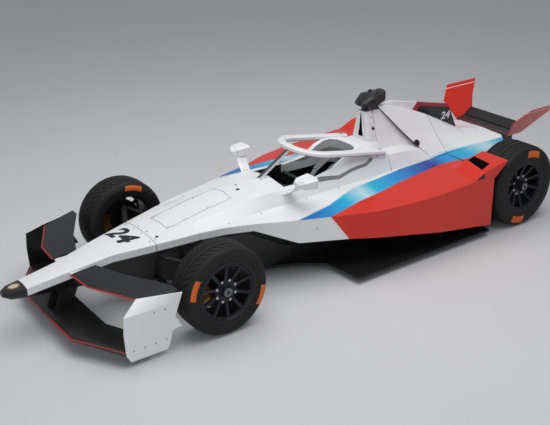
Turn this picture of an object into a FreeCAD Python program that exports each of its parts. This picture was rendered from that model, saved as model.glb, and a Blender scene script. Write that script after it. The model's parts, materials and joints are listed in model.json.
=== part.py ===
# Electric open wheel racing car, single seat, at full size.
# Frame: +X forward, +Y to the car's left, +Z up. The origin lies on the ground, under the middle of the length.
# All sizes are in millimetres and degrees, and stand in the sheet "Sizes".
import FreeCAD, Part
import os
import re
import Sketcher

doc = FreeCAD.newDocument("open_wheel_racing_car")
sheet = doc.addObject("Spreadsheet::Sheet", "Sizes")

# Driving dimensions: name, value, what it is.
GENERAL = [
    ("seam_gap", 0.3, "gap between two curved pieces that seat on each other"),
    ("front_axle_x", 1252, "front axle line, ahead of the origin"),
    ("wheelbase", 2970, "front axle to rear axle"),
    ("car_half_width", 850, "outer face of every tyre"),
    ("car_front_x", 2508, "tip of the nose"),
    ("front_tyre_radius", 325, "front tyre"),
    ("front_tyre_width", 250, "front tyre"),
    ("rear_tyre_radius", 350, "rear tyre"),
    ("rear_tyre_width", 305, "rear tyre"),
    ("rear_inner_half", "=car_half_width - rear_tyre_width", "inner faces of the rear tyres"),
    ("cap_depth", 57, "depth of the tail's sides, from the deck down"),
    ("cap_height", "=tail_front_foot_height - cap_depth", "underside of the engine cover and the tail"),
    ("rim_radius", 228, "bead seat of an 18 inch rim"),
    ("kingpin_half", "=car_half_width - 195", "steering axis from the middle of the car"),
    ("tub_half", 309, "flat side of the survival cell, where the side pods start"),
    ("floor_bottom", 45, "underside of the floor above the ground"),
    ("floor_thickness", 15, "floor board"),
    ("skin_drop", 55, "narrow facet under the edge of the deck"),
]

# Stations of the survival cell and nose, front to rear. For each: place along the car, height of the middle,
# half width and height of the shoulder, half width and height of the deck edge, half width and height of the keel.
CELL = [
    ("lens_seam", 2356, 396, 42, 394, 80, 388, 46, 305),
    ("wing_root", 2077, 438, 60, 435, 101, 427, 60, 290),
    ("nose_middle", 1752, 503, 95, 498, 155, 485, 85, 255),
    ("bulkhead", 1452, 540, 140, 532, 235, 510, 120, 175),
    ("front_axle_line", 1252, 562, 165, 550, 284, 527, 150, 130),
    ("pod_tip", 1152, 582, 185, 568, 309, 537, 180, 105),
    ("knee", 952, 625, 210, 604, 309, 548, 220, 80),
    ("cowl", 502, 686, 246, 655, 309, 560, 262, 60),
    ("dash", 232, 680, 256, 645, 309, 566, 285, 60),
    ("seat_line", -150, 675, 264, 648, 309, 570, 289, 60),
    ("shoulder_line", -450, 690, 266, 668, 309, 574, 289, 60),
    ("hoop_line", -530, 700, 258, 700, 309, 576, 289, 60),
    ("cell_end", -690, 700, 252, 700, 309, 577, 289, 60),
]
CELL_PARTS = ("x", "top", "shoulder_half", "shoulder_height", "edge_half", "edge_height", "keel_half", "keel_height")

# Stations of the head surround, front to rear: place along the car, half width of the foot in the cell's ledge,
# half width and height of the lip on the cell's rim, half width and height of the crest, height of the middle.
RIM = [
    ("rim_tip", 50, 219, 262, 640, 205, 655, 600),
    ("rim_wheel", -60, 219, 271, 634, 203, 672, 610),
    ("rim_dip", -170, 219, 278, 622, 200, 690, 620),
    ("rim_rise", -280, 219, 270, 645, 198, 758, 680),
    ("rim_head", -354, 219, 268, 655, 188, 783, 730),
    ("rim_back", -450, 219, 269, 660, 168, 786, 782),
    ("rim_end", -521, 148, 261, 690, 140, 784, 790),
]
RIM_PARTS = ("x", "foot_half", "lip_half", "lip_height", "crest_half", "crest_height", "middle_height")

# Stations of a side pod: place along the car, height of the deck against the cell, half width and height of the
# deck edge, height of the lower edge of the side panel, half width and height of the undercut's foot.
POD = [
    ("pod_nib", 1130, 539, 315, 538, 483, 312, 470),
    ("pod_knee", 952, 548, 363, 546, 490, 318, 455),
    ("pod_nose", 752, 554, 423, 540, 482, 330, 430),
    ("pod_lip", 432, 561, 541, 524, 340, 345, 250),
    ("pod_waist", 57, 568, 675, 516, 318, 360, 150),
    ("pod_bulge", -148, 570, 759, 519, 300, 370, 130),
    ("pod_quarter", -448, 574, 815, 525, 260, 390, 110),
    ("pod_back", -748, 577, 840, 533, 205, 420, 90),
    ("pod_kick", -1098, 577, 840, 546, 150, 450, 80),
    ("pod_end", -1325, 577, 840, 553, 110, 475, 76),
]
POD_PARTS = ("x", "deck_height", "edge_half", "edge_height", "panel_foot", "foot_half", "foot_height")

# The kick up ahead of the rear wheel: place along the car, height of its top, height of its underside.
KICK = [
    ("kick_start", -1098, 549, 520),
    ("kick_rise", -1226, 604, 520),
    ("kick_flat", -1338, 628, 530),
    ("kick_end", -1468, 648, 632),
]
KICK_PARTS = ("x", "top", "bottom")

# Stations of the engine cover's inset walls: place along the car, half widths and heights of the ridge, of the
# wall, of the wall's foot, of the ledge beside it and of the line where the flank meets the deck.
COVER = [
    ("cover_front", -690, 49, 1022, 112, 775, 140, 715, 252, 699, 302, 592),
    ("cover_peak", -848, 40, 1015, 118, 785, 152, 712, 250, 688, 298, 586),
    ("cover_middle", -1078, 36, 945, 126, 760, 170, 690, 236, 657, 300, 578),
    ("cover_end", -1328, 30, 850, 120, 700, 185, 645, 232, 620, 304, 577),
]
COVER_PARTS = ("x", "ridge_half", "ridge_height", "wall_half", "wall_height", "step_half", "step_height",
               "ledge_half", "ledge_height", "foot_half", "foot_height")

# Stations of the cover's outer skin and of the tail: place along the car, half width and height of the ridge,
# half width and height of the flank's fold, half width and height of the deck's inner line, half width of the deck.
SKIN = [
    ("skin_front", -700, 50, 1048, 142, 850, 290, 590, 309),
    ("skin_peak", -848, 46, 1040, 147, 820, 292, 582, 309),
    ("skin_middle", -1078, 40, 966, 154, 775, 300, 578, 309),
    ("skin_end", -1328, 36, 859, 158, 718, 304, 577, 309),
]
TAIL = [
    ("tail_front", -1328, 36, 859, 158, 718, 304, 577, "=rear_inner_half - 45"),
    ("tail_axle", -1728, 28, 655, 150, 624, 295, 582, "=rear_inner_half - 93"),
    ("tail_back", -1948, 20, 602, 110, 597, 200, 590, "=rear_inner_half - 173"),
    ("tail_lip", -2058, 18, 590, 80, 588, 130, 585, 250),
]
SKIN_PARTS = ("x", "ridge_half", "ridge_height", "fold_half", "fold_height", "foot_half", "foot_height", "deck_half")

# The camera pod: place along the car, half width, heights of its underside and its top.
CAMERA = [
    ("camera_front", -600, 62, 1062, 1102),
    ("camera_middle", -680, 90, 1050, 1150),
    ("camera_back", -830, 50, 1076, 1168),
]
CAMERA_PARTS = ("x", "half", "bottom", "top")

# The mirror housing: place along the car, inner and outer sides, heights of its underside and its top.
HOUSING = [
    ("housing_nose", 385, 412, 466, 746, 782),
    ("housing_brow", 348, 384, 506, 726, 796),
    ("housing_back", 236, 372, 520, 716, 802),
]
HOUSING_PARTS = ("x", "inner", "outer", "bottom", "top")

# Front end plates, from the foot upwards: height, front edge and rear edge along the car, half widths there.
PLATE = [
    ("plate_foot", 40, 1985, 1712, 800, 800),
    ("plate_toe", 92, 2014, 1690, 800, 800),
    ("plate_waist", 250, 2021, 1650, 800, 800),
    ("plate_fold", 372, 2012, 1612, 800, 812),
    ("plate_head", 440, 1884, 1599, 736, 829),
]
PLATE_PARTS = ("height", "front", "back", "front_half", "back_half")

# Edge of the floor board, front to rear: place along the car, half width.
FLOOR = [
    ("floor_nose", 1080, 120),
    ("floor_neck", 552, 235),
    ("floor_shoulder", 292, 365),
    ("floor_corner", 122, 500),
    ("floor_wing", 92, 830),
    ("floor_wheel", -1330, 830),
    ("floor_waist", -1400, "=rear_inner_half - 25"),
    ("floor_end", -1780, "=rear_inner_half - 40"),
]
FLOOR_PARTS = ("x", "half")

WINGS = [
    ("tip_half", 26, "nose tip, half width"),
    ("tip_top", 378, "nose tip, upper edge"),
    ("tip_bottom", 345, "nose tip, lower edge"),
    ("lower_wing_kink_half", 430, "where the lower leading edge turns back"),
    ("lower_wing_kink_front", 2236, "leading edge there"),
    ("lower_wing_tip_front", 2022, "leading edge at the end plate"),
    ("lower_wing_chord", 262, "lower front wing, front to back"),
    ("lower_wing_height", 118, "lower front wing, leading edge"),
    ("lower_wing_tip_height", 92, "lower front wing, leading edge at the end plate"),
    ("lower_wing_tip_half", 790.7, "lower front wing, half span"),
    ("upper_wing_root_half", 150, "upper front wing, inner end"),
    ("upper_wing_root_front", 2077, "upper front wing, leading edge at the nose"),
    ("upper_wing_root_chord", 190, "upper front wing, chord at the nose"),
    ("upper_wing_kink_half", 379, "where the upper leading edge turns back"),
    ("upper_wing_kink_front", 2059, "leading edge there"),
    ("upper_wing_kink_chord", 255, "chord there"),
    ("upper_wing_tip_half", 725, "upper front wing, near the end plate"),
    ("upper_wing_tip_front", 1890, "leading edge there"),
    ("upper_wing_tip_chord", 272, "chord there"),
    ("upper_wing_corner_half", 802, "upper front wing, rear corner against the end plate"),
    ("upper_wing_corner_front", 1644, "leading edge there"),
    ("upper_wing_height", 428, "upper front wing, leading edge"),
    ("wing_thickness", 17, "front wing planes at their thickest"),
    ("end_plate_thickness", 9, "front and rear end plates"),
    ("pylon_half", 57, "wing pylons from the middle of the car"),
    ("pylon_front", 2130, "front of the pylons at their top"),
    ("pylon_back", 1990, "rear of the pylons at their top"),
    ("pylon_top", 276, "flat feet on the nose's keel, where the pylons start"),
    ("pylon_thickness", 12, "wing pylons"),
    ("rear_wing_half", 325, "rear main plane, half span"),
    ("rear_flap_half", 360, "rear flap, half span"),
    ("rear_plate_foot_half", 303, "rear end plates at their foot"),
    ("rear_plate_foot_rise", 52, "foot of the rear end plates above the underside of the tail"),
    ("rear_plate_foot_height", "=cap_height + rear_plate_foot_rise", "foot of the rear end plates"),
    ("rear_wing_front", -2066, "rear main plane, leading edge"),
    ("rear_wing_chord", 128, "rear main plane, front to back"),
    ("rear_wing_height", "=rear_plate_foot_height + 13", "rear main plane, leading edge"),
    ("rear_flap_front", -2182, "rear flap, leading edge"),
    ("rear_flap_chord", 118, "rear flap, front to back"),
    ("rear_flap_height", "=rear_plate_foot_height + 34", "rear flap, leading edge"),
    ("rear_plate_head_half", 512, "rear end plates at their head"),
    ("rear_plate_rise", 284, "rear end plates, foot to head"),
    ("rear_plate_head_height", "=rear_plate_foot_height + rear_plate_rise", "head of the rear end plates"),
]

COCKPIT = [
    ("ledge_depth", 40, "ledge for the head surround, below the lowest place of the cell's rim"),
    ("ledge_height", "=rim_dip_lip_height - ledge_depth", "ledge in the cell for the head surround"),
    ("opening_front", 322, "front edge of the cockpit opening"),
    ("opening_front_half", 150, "cockpit opening at its front edge"),
    ("opening_half", 205, "cockpit opening beside the driver"),
    ("opening_back", -485, "rear wall of the cockpit well"),
    ("well_floor", 105, "floor of the cockpit well"),
    ("leg_space_length", 640, "leg space, ahead of the dash"),
    ("leg_space_top", 424, "leg space, upper face"),
    ("leg_space_half", 150, "leg space, upper face, half width"),
    ("rim_inner_front_half", 188, "inside of the head surround at its tips"),
    ("rim_inner_half", 165, "inside of the head surround beside the head"),
    ("rim_inner_back", -457, "inside of the head surround behind the head"),
    ("hump_rise", 78, "fairing under the roll hoop, above the cell"),
    ("hump_height", "=cell_end_top + hump_rise", "top of the fairing under the roll hoop"),
    ("hump_half", 115, "flat top of that fairing"),
    ("hump_front_fold_half", 165, "fold of its flank at its front"),
    ("hump_back_fold_half", 145, "fold of its flank at its rear"),
    ("hump_front_half", 226, "its foot at its front"),
    ("hump_back_half", 170, "its foot at its rear"),
    ("tower_front", -612, "front face of the roll hoop"),
    ("tower_foot_half", 112, "roll hoop at its foot"),
    ("tower_head_half", 50, "roll hoop at its head"),
    ("tower_head", 1020, "head of the roll hoop"),
    ("slot_depth", 30, "slot in the face of the roll hoop"),
    ("plinth_height", 690, "top of the plinth under the halo's pillar"),
    ("plinth_front", 440, "front of the plinth"),
    ("plinth_back", 337, "rear of the plinth"),
    ("pillar_front", 432, "front of the halo's pillar at its foot"),
    ("pillar_back", 345, "rear of the halo's pillar at its foot"),
    ("pillar_head_front", 158, "front of the pillar at its head"),
    ("pillar_head_back", 74, "rear of the pillar at its head"),
    ("pillar_half", 15, "halo's pillar, half its thickness"),
    ("halo_front", 112, "front of the halo's line"),
    ("halo_rear", -650, "rear ends of the halo"),
    ("halo_foot_rise", 32, "rear ends of the halo above the cell"),
    ("halo_rear_height", "=cell_end_top + halo_foot_rise", "height of the halo's rear ends"),
    ("halo_front_rise", 136, "front of the halo above its rear ends"),
    ("halo_front_height", "=halo_rear_height + halo_front_rise", "height of the halo's front"),
    ("halo_half", 244, "halo, half width of its line"),
    ("halo_corner", 200, "halo, radius of its line at the front corners"),
    ("halo_band_half", 34, "halo, half the width of its band"),
    ("halo_band_rise", 22, "halo, half the thickness of its band"),
    ("seat_half", 150, "seat, half width"),
    ("seat_front", 60, "front of the seat"),
    ("seat_back", -462, "rear of the seat's back"),
    ("seat_top", 560, "top of the seat's back"),
]

RUNNING = [
    ("mirror_foot_half", 275, "foot of the mirror stalks"),
    ("mirror_foot_front", 385, "mirror stalk's foot, front"),
    ("mirror_foot_back", 300, "mirror stalk's foot, rear"),
    ("mirror_foot_drop", 20, "mirror stalk's foot, middle, below the cell's shoulder"),
    ("mirror_foot_height", "=dash_shoulder_height - mirror_foot_drop", "mirror stalk's foot, middle"),
    ("stalk_thickness", 14, "mirror stalk"),
    ("track_rod_back", 115, "track rod pins behind the front axle"),
    ("track_rod_drop", 60, "track rods under the front axle"),
    ("track_rod_radius", 9, "track rods"),
    ("eye_radius", 13, "holes of the track rods' eyes"),
    ("eye_lead", 2.8, "eyes' centres ahead of the pins, half of the pins' travel along the car"),
    ("pin_radius", 5, "track rod pins"),
    ("rack_clearance", 0.8, "round the rack in its tunnel"),
    ("ball_joint_rise", 110, "upper and lower wishbone bosses from the axle"),
    ("boss_radius", 17, "wishbone boss on the steering axis"),
    ("boss_height", 24, "wishbone boss"),
    ("blade_chord", 42, "wishbone legs, front to back"),
    ("blade_thickness", 15, "wishbone legs"),
    ("front_upper_pickup_half", 298, "inner ends of the upper front wishbones"),
    ("front_lower_pickup_half", 240, "inner ends of the lower front wishbones"),
    ("front_shaft_flange_half", 236, "inner ends of the front drive shafts"),
    ("front_leg_front", 165, "front leg's inner end ahead of the axle"),
    ("front_leg_back", 132, "rear leg's inner end behind the axle"),
    ("front_upper_pickup", 425, "height of the upper inner ends"),
    ("front_lower_pickup", 195, "height of the lower inner ends"),
    ("rear_leg_front", 92, "front leg's inner end ahead of the rear axle"),
    ("rear_leg_back", 190, "rear leg's inner end behind the rear axle"),
    ("rear_upper_pickup", 425, "height of the upper inner ends"),
    ("rear_lower_pickup", 205, "height of the lower inner ends"),
    ("rear_joint_half", "=car_half_width - 235", "rear wishbone bosses from the middle of the car"),
    ("upright_half_length", 45, "uprights, front to back"),
    ("upright_thickness", 70, "uprights, across the car"),
    ("stub_radius", 28, "front stub axles"),
    ("stub_reach", 60, "front stub axle past the middle of the wheel"),
    ("hub_gap", 0.5, "running gap round stub axles and hubs"),
    ("disc_radius", 150, "front brake discs"),
    ("disc_thickness", 26, "front brake discs"),
    ("shaft_radius", 18, "drive shafts"),
    ("spoke_count", 10, "spokes in a rim"),
    ("column_tilt", 20, "steering column, nose down"),
    ("steering_wheel_x", 70, "middle of the steering wheel"),
    ("steering_wheel_drop", 125, "steering wheel's middle, below the cell's top at the dash"),
    ("steering_wheel_height", "=dash_top - steering_wheel_drop", "middle of the steering wheel"),
    ("steering_wheel_half", 135, "steering wheel, half width"),
    ("steering_wheel_depth", 165, "steering wheel, top to bottom"),
    ("column_radius", 16, "steering column"),
    ("column_length", 312, "steering column, into the dash"),
    ("block_rear", -1600, "rear face of the battery block"),
    ("block_half", 290, "battery block, half width"),
    ("drive_half", 195, "rear drive unit, half width"),
    ("drive_bottom", 165, "underside of the drive unit"),
    ("drive_rear", -2020, "rear face of the drive unit"),
    ("jack_bar_x", -2380, "rear jacking bar"),
    ("jack_bar_height", 350, "rear jacking bar above the ground"),
    ("jack_bar_radius", 10, "rear jacking bar"),
    ("jack_bar_length", 130, "rear jacking bar, across the car"),
    ("jack_lug_half", 15, "lug that holds the jacking bar, half its width"),
    ("crash_rear", -2440, "rear face of the crash box"),
    ("crash_bottom_front", 350, "underside of the crash box at its front"),
    ("crash_bottom_rear", 385, "underside of the crash box at its rear"),
    ("crash_top", "=cap_height - 5", "top of the crash box"),
    ("crash_front_half", 95, "crash box at its front"),
    ("crash_rear_half", 62, "crash box at its rear"),
    ("diffuser_rear", -2230, "rear edge of the diffuser"),
    ("diffuser_rise", 205, "underside of the diffuser at its rear edge"),
    ("diffuser_gap", 71, "outer fences of the diffuser from the rear tyres"),
    ("diffuser_half", "=rear_inner_half - diffuser_gap", "outer fences of the diffuser"),
    ("fence_foot", 110, "foot of the diffuser's fences at the rear edge"),
]

row = 0
known = set()


def cell(name, value, note=""):
    """Puts one named size on the sheet."""
    global row
    row += 1
    sheet.set("A%d" % row, name)
    sheet.set("B%d" % row, str(value))
    sheet.set("C%d" % row, note)
    sheet.setAlias("B%d" % row, name)
    known.add(name)


for group in (GENERAL, WINGS, COCKPIT, RUNNING):
    for entry in group:
        cell(*entry)
for stations, parts in ((CELL, CELL_PARTS), (RIM, RIM_PARTS), (POD, POD_PARTS), (KICK, KICK_PARTS),
                        (COVER, COVER_PARTS), (SKIN, SKIN_PARTS), (TAIL, SKIN_PARTS), (CAMERA, CAMERA_PARTS),
                        (HOUSING, HOUSING_PARTS), (PLATE, PLATE_PARTS), (FLOOR, FLOOR_PARTS)):
    for station in stations:
        for part, value in zip(parts, station[1:]):
            cell("%s_%s" % (station[0], part), value)
doc.recompute()

WORD = re.compile(r"[A-Za-z_][A-Za-z_0-9]*")


def tie(text):
    """Turns a formula in the names of the sheet into an expression."""
    return WORD.sub(lambda m: "Sizes." + m.group(0) if m.group(0) in known else m.group(0), str(text))


def number(text):
    """The present value of a formula."""
    found = sheet.evalExpression(tie(text))
    return float(getattr(found, "Value", found))


def minus(text):
    return "-(%s)" % text


def new_body(label):
    body = doc.addObject("PartDesign::Body", label)
    body.Label = label
    return body


def origin_of(body, role):
    return [item for item in body.Origin.OriginFeatures if item.Role == role][0]


def start_sketch(body, name, role, offset="0"):
    sketch = body.newObject("Sketcher::SketchObject", name)
    sketch.AttachmentSupport = [(origin_of(body, role), "")]
    sketch.MapMode = "FlatFace"
    sketch.setExpression("AttachmentOffset.Base.z", tie(offset))
    return sketch


def pin_point(sketch, edge, end, across, up):
    """Ties one end of an edge to two formulas."""
    for kind, formula in (("DistanceX", across), ("DistanceY", up)):
        index = sketch.addConstraint(Sketcher.Constraint(kind, -1, 1, edge, end, number(formula)))
        sketch.setExpression("Constraints[%d]" % index, tie(formula))


def outline(body, name, role, offset, points, first=0):
    """A closed outline of straight edges through points given as pairs of formulas."""
    sketch = start_sketch(body, name, role, offset)
    add_outline(sketch, points, first)
    return sketch


def add_outline(sketch, points, first=0):
    places = [FreeCAD.Vector(number(across), number(up), 0) for across, up in points]
    count = len(points)
    for i in range(count):
        sketch.addGeometry(Part.LineSegment(places[i], places[(i + 1) % count]), False)
    for i in range(count):
        after = first + (i + 1) % count
        sketch.addConstraint(Sketcher.Constraint("Coincident", first + i, 2, after, 1))
    for i in range(count):
        pin_point(sketch, first + i, 1, *points[i])


def ring(body, name, role, offset, across, up, radius):
    """A circle whose centre and radius are formulas."""
    sketch = start_sketch(body, name, role, offset)
    centre = FreeCAD.Vector(number(across), number(up), 0)
    sketch.addGeometry(Part.Circle(centre, FreeCAD.Vector(0, 0, 1), number(radius)), False)
    pin_point(sketch, 0, 3, across, up)
    index = sketch.addConstraint(Sketcher.Constraint("Radius", 0, number(radius)))
    sketch.setExpression("Constraints[%d]" % index, tie(radius))
    return sketch


def loft(body, name, sections, cut=False, ruled=True):
    kind = "PartDesign::SubtractiveLoft" if cut else "PartDesign::AdditiveLoft"
    feature = body.newObject(kind, name)
    feature.Profile = sections[0]
    feature.Sections = sections[1:]
    feature.Ruled = ruled
    return feature


def pad(body, name, sketch, length, both=False, backwards=False):
    feature = body.newObject("PartDesign::Pad", name)
    feature.Profile = sketch
    feature.setExpression("Length", tie(length))
    feature.Midplane = both
    feature.Reversed = backwards
    return feature


def pocket(body, name, sketch, length=None, both=False, backwards=False):
    feature = body.newObject("PartDesign::Pocket", name)
    feature.Profile = sketch
    feature.Midplane = both
    feature.Reversed = backwards
    if length is None:
        feature.Type = "ThroughAll"
    else:
        feature.setExpression("Length", tie(length))
    return feature


def revolve(body, name, sketch):
    """A full turn about the body's own Y axis."""
    feature = body.newObject("PartDesign::Revolution", name)
    feature.Profile = sketch
    feature.ReferenceAxis = (origin_of(body, "Y_Axis"), [""])
    feature.Angle = 360
    return feature


def move(thing, x="0", y="0", z="0"):
    for letter, formula in zip("xyz", (x, y, z)):
        thing.setExpression("Placement.Base." + letter, tie(formula))


def block(label, x0, x1, y0, y1, z0, z1):
    box = doc.addObject("Part::Box", label)
    move(box, x0, y0, z0)
    box.setExpression("Length", tie("(%s) - (%s)" % (x1, x0)))
    box.setExpression("Width", tie("(%s) - (%s)" % (y1, y0)))
    box.setExpression("Height", tie("(%s) - (%s)" % (z1, z0)))
    return box


def mirror(label, source):
    """The same piece on the other side of the car."""
    copy = doc.addObject("Part::Mirroring", label)
    copy.Source = source
    copy.Normal = (0, 1, 0)
    copy.Base = (0, 0, 0)
    return copy


def join(label, pieces):
    whole = doc.addObject("Part::MultiFuse", label)
    whole.Shapes = pieces
    return whole


def group_of(label, pieces):
    """Pieces that do not touch, kept as one node."""
    whole = doc.addObject("Part::Compound", label)
    whole.Links = pieces
    return whole


def cut(label, base, tool):
    whole = doc.addObject("Part::Cut", label)
    whole.Base = base
    whole.Tool = tool
    return whole


nodes = {}


def keep(name, thing):
    """Names the finished piece: its label is its file's name."""
    thing.Label = name
    nodes[name] = thing
    return thing


def both_sides(half):
    """A closed outline from its left half, given from top to bottom."""
    right = [(minus(across), up) for across, up in reversed(half) if across != "0"]
    return half + right


def across_car(half):
    """A closed plan outline from its left half, given as place along the car and half width."""
    return half + [(along, minus(across)) for along, across in reversed(half)]


def rectangle(x0, x1, y0, y1):
    return [(x0, y0), (x1, y0), (x1, y1), (x0, y1)]


# Survival cell and nose


def cell_section(body, station):
    named = lambda part: "%s_%s" % (station, part)
    half = [
        ("0", named("top")),
        (named("shoulder_half"), named("shoulder_height")),
        (named("edge_half"), named("edge_height")),
        (named("edge_half"), named("edge_height") + " - skin_drop"),
        (named("keel_half"), named("keel_height")),
    ]
    return outline(body, station + "_section", "YZ_Plane", named("x"), both_sides(half))


cell_names = [station[0] for station in CELL]


def pylon_section(body, name, sign, level, front, back):
    """A lens shaped section of a wing pylon."""
    return outline(body, name, "XY_Plane", level, [
        (front, "%d * pylon_half" % sign), ("(%s) - 40" % front, "%d * (pylon_half + pylon_thickness / 2)" % sign),
        (back, "%d * pylon_half" % sign), ("(%s) - 40" % front, "%d * (pylon_half - pylon_thickness / 2)" % sign)])


nose = new_body("nose_shell")
loft(nose, "nose_loft", [cell_section(nose, name) for name in cell_names[:4]])
root_outline = outline(nose, "wing_root_outline", "XY_Plane", "upper_wing_height - 12", [
    ("upper_wing_root_front - 20", "-upper_wing_root_half"), ("upper_wing_root_front - 20", "upper_wing_root_half"),
    ("upper_wing_root_front - upper_wing_root_chord + 20", "upper_wing_root_half"),
    ("upper_wing_root_front - upper_wing_root_chord + 20", "-upper_wing_root_half")])
pad(nose, "wing_root", root_outline, "11")
for side, sign in (("left", 1), ("right", -1)):
    foot = pylon_section(nose, "pylon_foot_" + side, sign, "pylon_top", "pylon_front + 4", "pylon_back - 4")
    pad(nose, "pylon_foot_pad_" + side, foot, "30")
keep("nose_cone", nose)

tip = new_body("nose_tip_shell")
tip_sections = [cell_section(tip, "lens_seam")]
for step, (place, share) in enumerate((("(lens_seam_x + 2 * car_front_x) / 3", 0.62), ("car_front_x", 0.0))):
    width = "tip_half + (lens_seam_edge_half - tip_half) * %s" % share
    rise = "tip_top + (lens_seam_top - tip_top) * %s" % share
    fall = "tip_bottom + (lens_seam_keel_height - tip_bottom) * %s" % share
    half = [
        ("0", rise),
        ("(%s) * 0.55" % width, "(%s) - 2" % rise),
        (width, "(%s) - 6" % rise),
        (width, "(%s) + ((%s) - (%s)) * 0.35" % (fall, rise, fall)),
        ("(%s) * 0.6" % width, fall),
    ]
    tip_sections.append(outline(tip, "tip_section_%d" % step, "YZ_Plane", place, both_sides(half)))
loft(tip, "tip_loft", tip_sections)
keep("nose_tip", tip)

tub = new_body("tub")
loft(tub, "tub_loft", [cell_section(tub, name) for name in cell_names[3:]])
doc.recompute()

# Bosses, plinth and the fairing under the roll hoop stand on the cell before the cockpit is cut.
mirror_boss = outline(tub, "mirror_boss_outline", "XZ_Plane", "0", rectangle(
    "mirror_foot_front", "mirror_foot_back - 4", "mirror_foot_height - 9", "mirror_foot_height + 9"))
pad(tub, "mirror_boss", mirror_boss, "2 * mirror_foot_half", both=True)
plinth = outline(tub, "pillar_plinth_outline", "XY_Plane", "plinth_height - 30", [
    ("plinth_front", "0"), ("plinth_front - 28", "pillar_half + 7"), ("plinth_back + 22", "pillar_half + 7"),
    ("plinth_back", "0"), ("plinth_back + 22", "-pillar_half - 7"), ("plinth_front - 28", "-pillar_half - 7")])
pad(tub, "pillar_plinth", plinth, "30")


def hump_section(name, place, fold_half, fold_height, foot_half):
    return outline(tub, name, "YZ_Plane", place, both_sides([
        ("hump_half", "hump_height"), (fold_half, fold_height), (foot_half, "cell_end_top"),
        (foot_half, "cell_end_top - 10")]))


loft(tub, "hump", [
    hump_section("hump_front", "rim_end_x - 1", "hump_front_fold_half", "hump_height - 24", "hump_front_half"),
    hump_section("hump_back", "cell_end_x", "hump_back_fold_half", "hump_height - 45", "hump_back_half")])
for side, sign in (("left", ""), ("right", "-")):
    seat_pad = outline(tub, "halo_seat_" + side, "XY_Plane", "cell_end_top - 60", rectangle(
        "halo_rear - 10", "halo_rear + 60", "%s(halo_half - 20)" % sign, "%s(halo_half + 20)" % sign))
    pad(tub, "halo_seat_pad_" + side, seat_pad, "60")

# Cockpit: the rim under the head surround, its ledge, the well, and the leg space under the cowl.
rim_stations = [entry[0] for entry in RIM]
rim_line = [(name + "_x", name + "_lip_height") for name in rim_stations]
rim_cut = outline(tub, "rim_outline", "XZ_Plane", "0",
                  [("rim_tip_x", "cell_end_top + 120")] + rim_line + [("rim_end_x", "cell_end_top + 120")])
pocket(tub, "rim", rim_cut, None, both=True)
ledge = outline(tub, "ledge_outline", "XY_Plane", "ledge_height", across_car([
    ("rim_tip_x", "rim_tip_foot_half + 3"), ("rim_back_x", "rim_back_foot_half + 3"),
    ("rim_end_x", "rim_end_foot_half + 2")]))
pocket(tub, "ledge", ledge, "400", backwards=True)
well = outline(tub, "well_outline", "XY_Plane", "well_floor", across_car([
    ("opening_front", "opening_front_half"), ("opening_front - 45", "opening_half - 10"), ("-60", "opening_half"),
    ("opening_back + 45", "opening_half"), ("opening_back", "opening_half - 55")]))
pocket(tub, "well", well, "700", backwards=True)
leg_space = outline(tub, "leg_space_outline", "YZ_Plane", "dash_x - 20", both_sides([
    ("leg_space_half", "leg_space_top"), ("leg_space_half + 45", "leg_space_top - 140"),
    ("leg_space_half + 25", "well_floor + 20")]))
pocket(tub, "leg_space", leg_space, "leg_space_length", backwards=True)
rack_tunnel = ring(tub, "rack_tunnel_outline", "XZ_Plane", "0", "front_axle_x - track_rod_back",
                   "front_tyre_radius - track_rod_drop", "track_rod_radius + rack_clearance")
pocket(tub, "rack_tunnel", rack_tunnel, None, both=True)
column_sketch = ring(tub, "column_bore_outline", "YZ_Plane", "steering_wheel_x", "0", "0",
                     "column_radius + hub_gap")
column_sketch.AttachmentOffset = FreeCAD.Placement(
    FreeCAD.Vector(0, number("steering_wheel_height"), number("steering_wheel_x")),
    FreeCAD.Rotation(FreeCAD.Vector(1, 0, 0), number("column_tilt")))
column_sketch.setExpression("AttachmentOffset.Base.y", tie("steering_wheel_height"))
column_sketch.setExpression("AttachmentOffset.Rotation.Angle", tie("column_tilt"))
pocket(tub, "column_bore", column_sketch, "column_length + 8", backwards=True)
for name, reach, half, height in (
        ("upper_front", "front_leg_front", "front_upper_pickup_half", "front_upper_pickup"),
        ("upper_back", "-front_leg_back", "front_upper_pickup_half", "front_upper_pickup"),
        ("lower_front", "front_leg_front", "front_lower_pickup_half", "front_lower_pickup"),
        ("lower_back", "-front_leg_back", "front_lower_pickup_half", "front_lower_pickup")):
    bracket = outline(tub, name + "_bracket_outline", "XZ_Plane", "0", [
        ("front_axle_x + %s + blade_chord * 0.6" % reach, height + " - blade_thickness * 0.8"),
        ("front_axle_x + %s + blade_chord * 0.6" % reach, height + " + blade_thickness * 0.8"),
        ("front_axle_x + %s - blade_chord * 0.6" % reach, height + " + blade_thickness * 0.8"),
        ("front_axle_x + %s - blade_chord * 0.6" % reach, height + " - blade_thickness * 0.8")])
    pad(tub, name + "_bracket", bracket, "2 * " + half, both=True)
flange = ring(tub, "shaft_flange_outline", "XZ_Plane", "0", "front_axle_x", "front_tyre_radius", "shaft_radius + 20")
pad(tub, "shaft_flange", flange, "2 * front_shaft_flange_half", both=True)
keep("monocoque", tub)

# Side pods


def pod_section(body, station):
    named = lambda part: "%s_%s" % (station, part)
    points = [
        ("tub_half", named("deck_height")),
        (named("edge_half"), named("edge_height")),
        (named("edge_half"), named("panel_foot")),
        (named("foot_half"), named("foot_height")),
        ("tub_half", named("foot_height")),
    ]
    return outline(body, station + "_section", "YZ_Plane", named("x"), points)


pod = new_body("pod_left")
loft(pod, "pod_loft", [pod_section(pod, entry[0]) for entry in POD])
kick_names = [entry[0] for entry in KICK]


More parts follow.
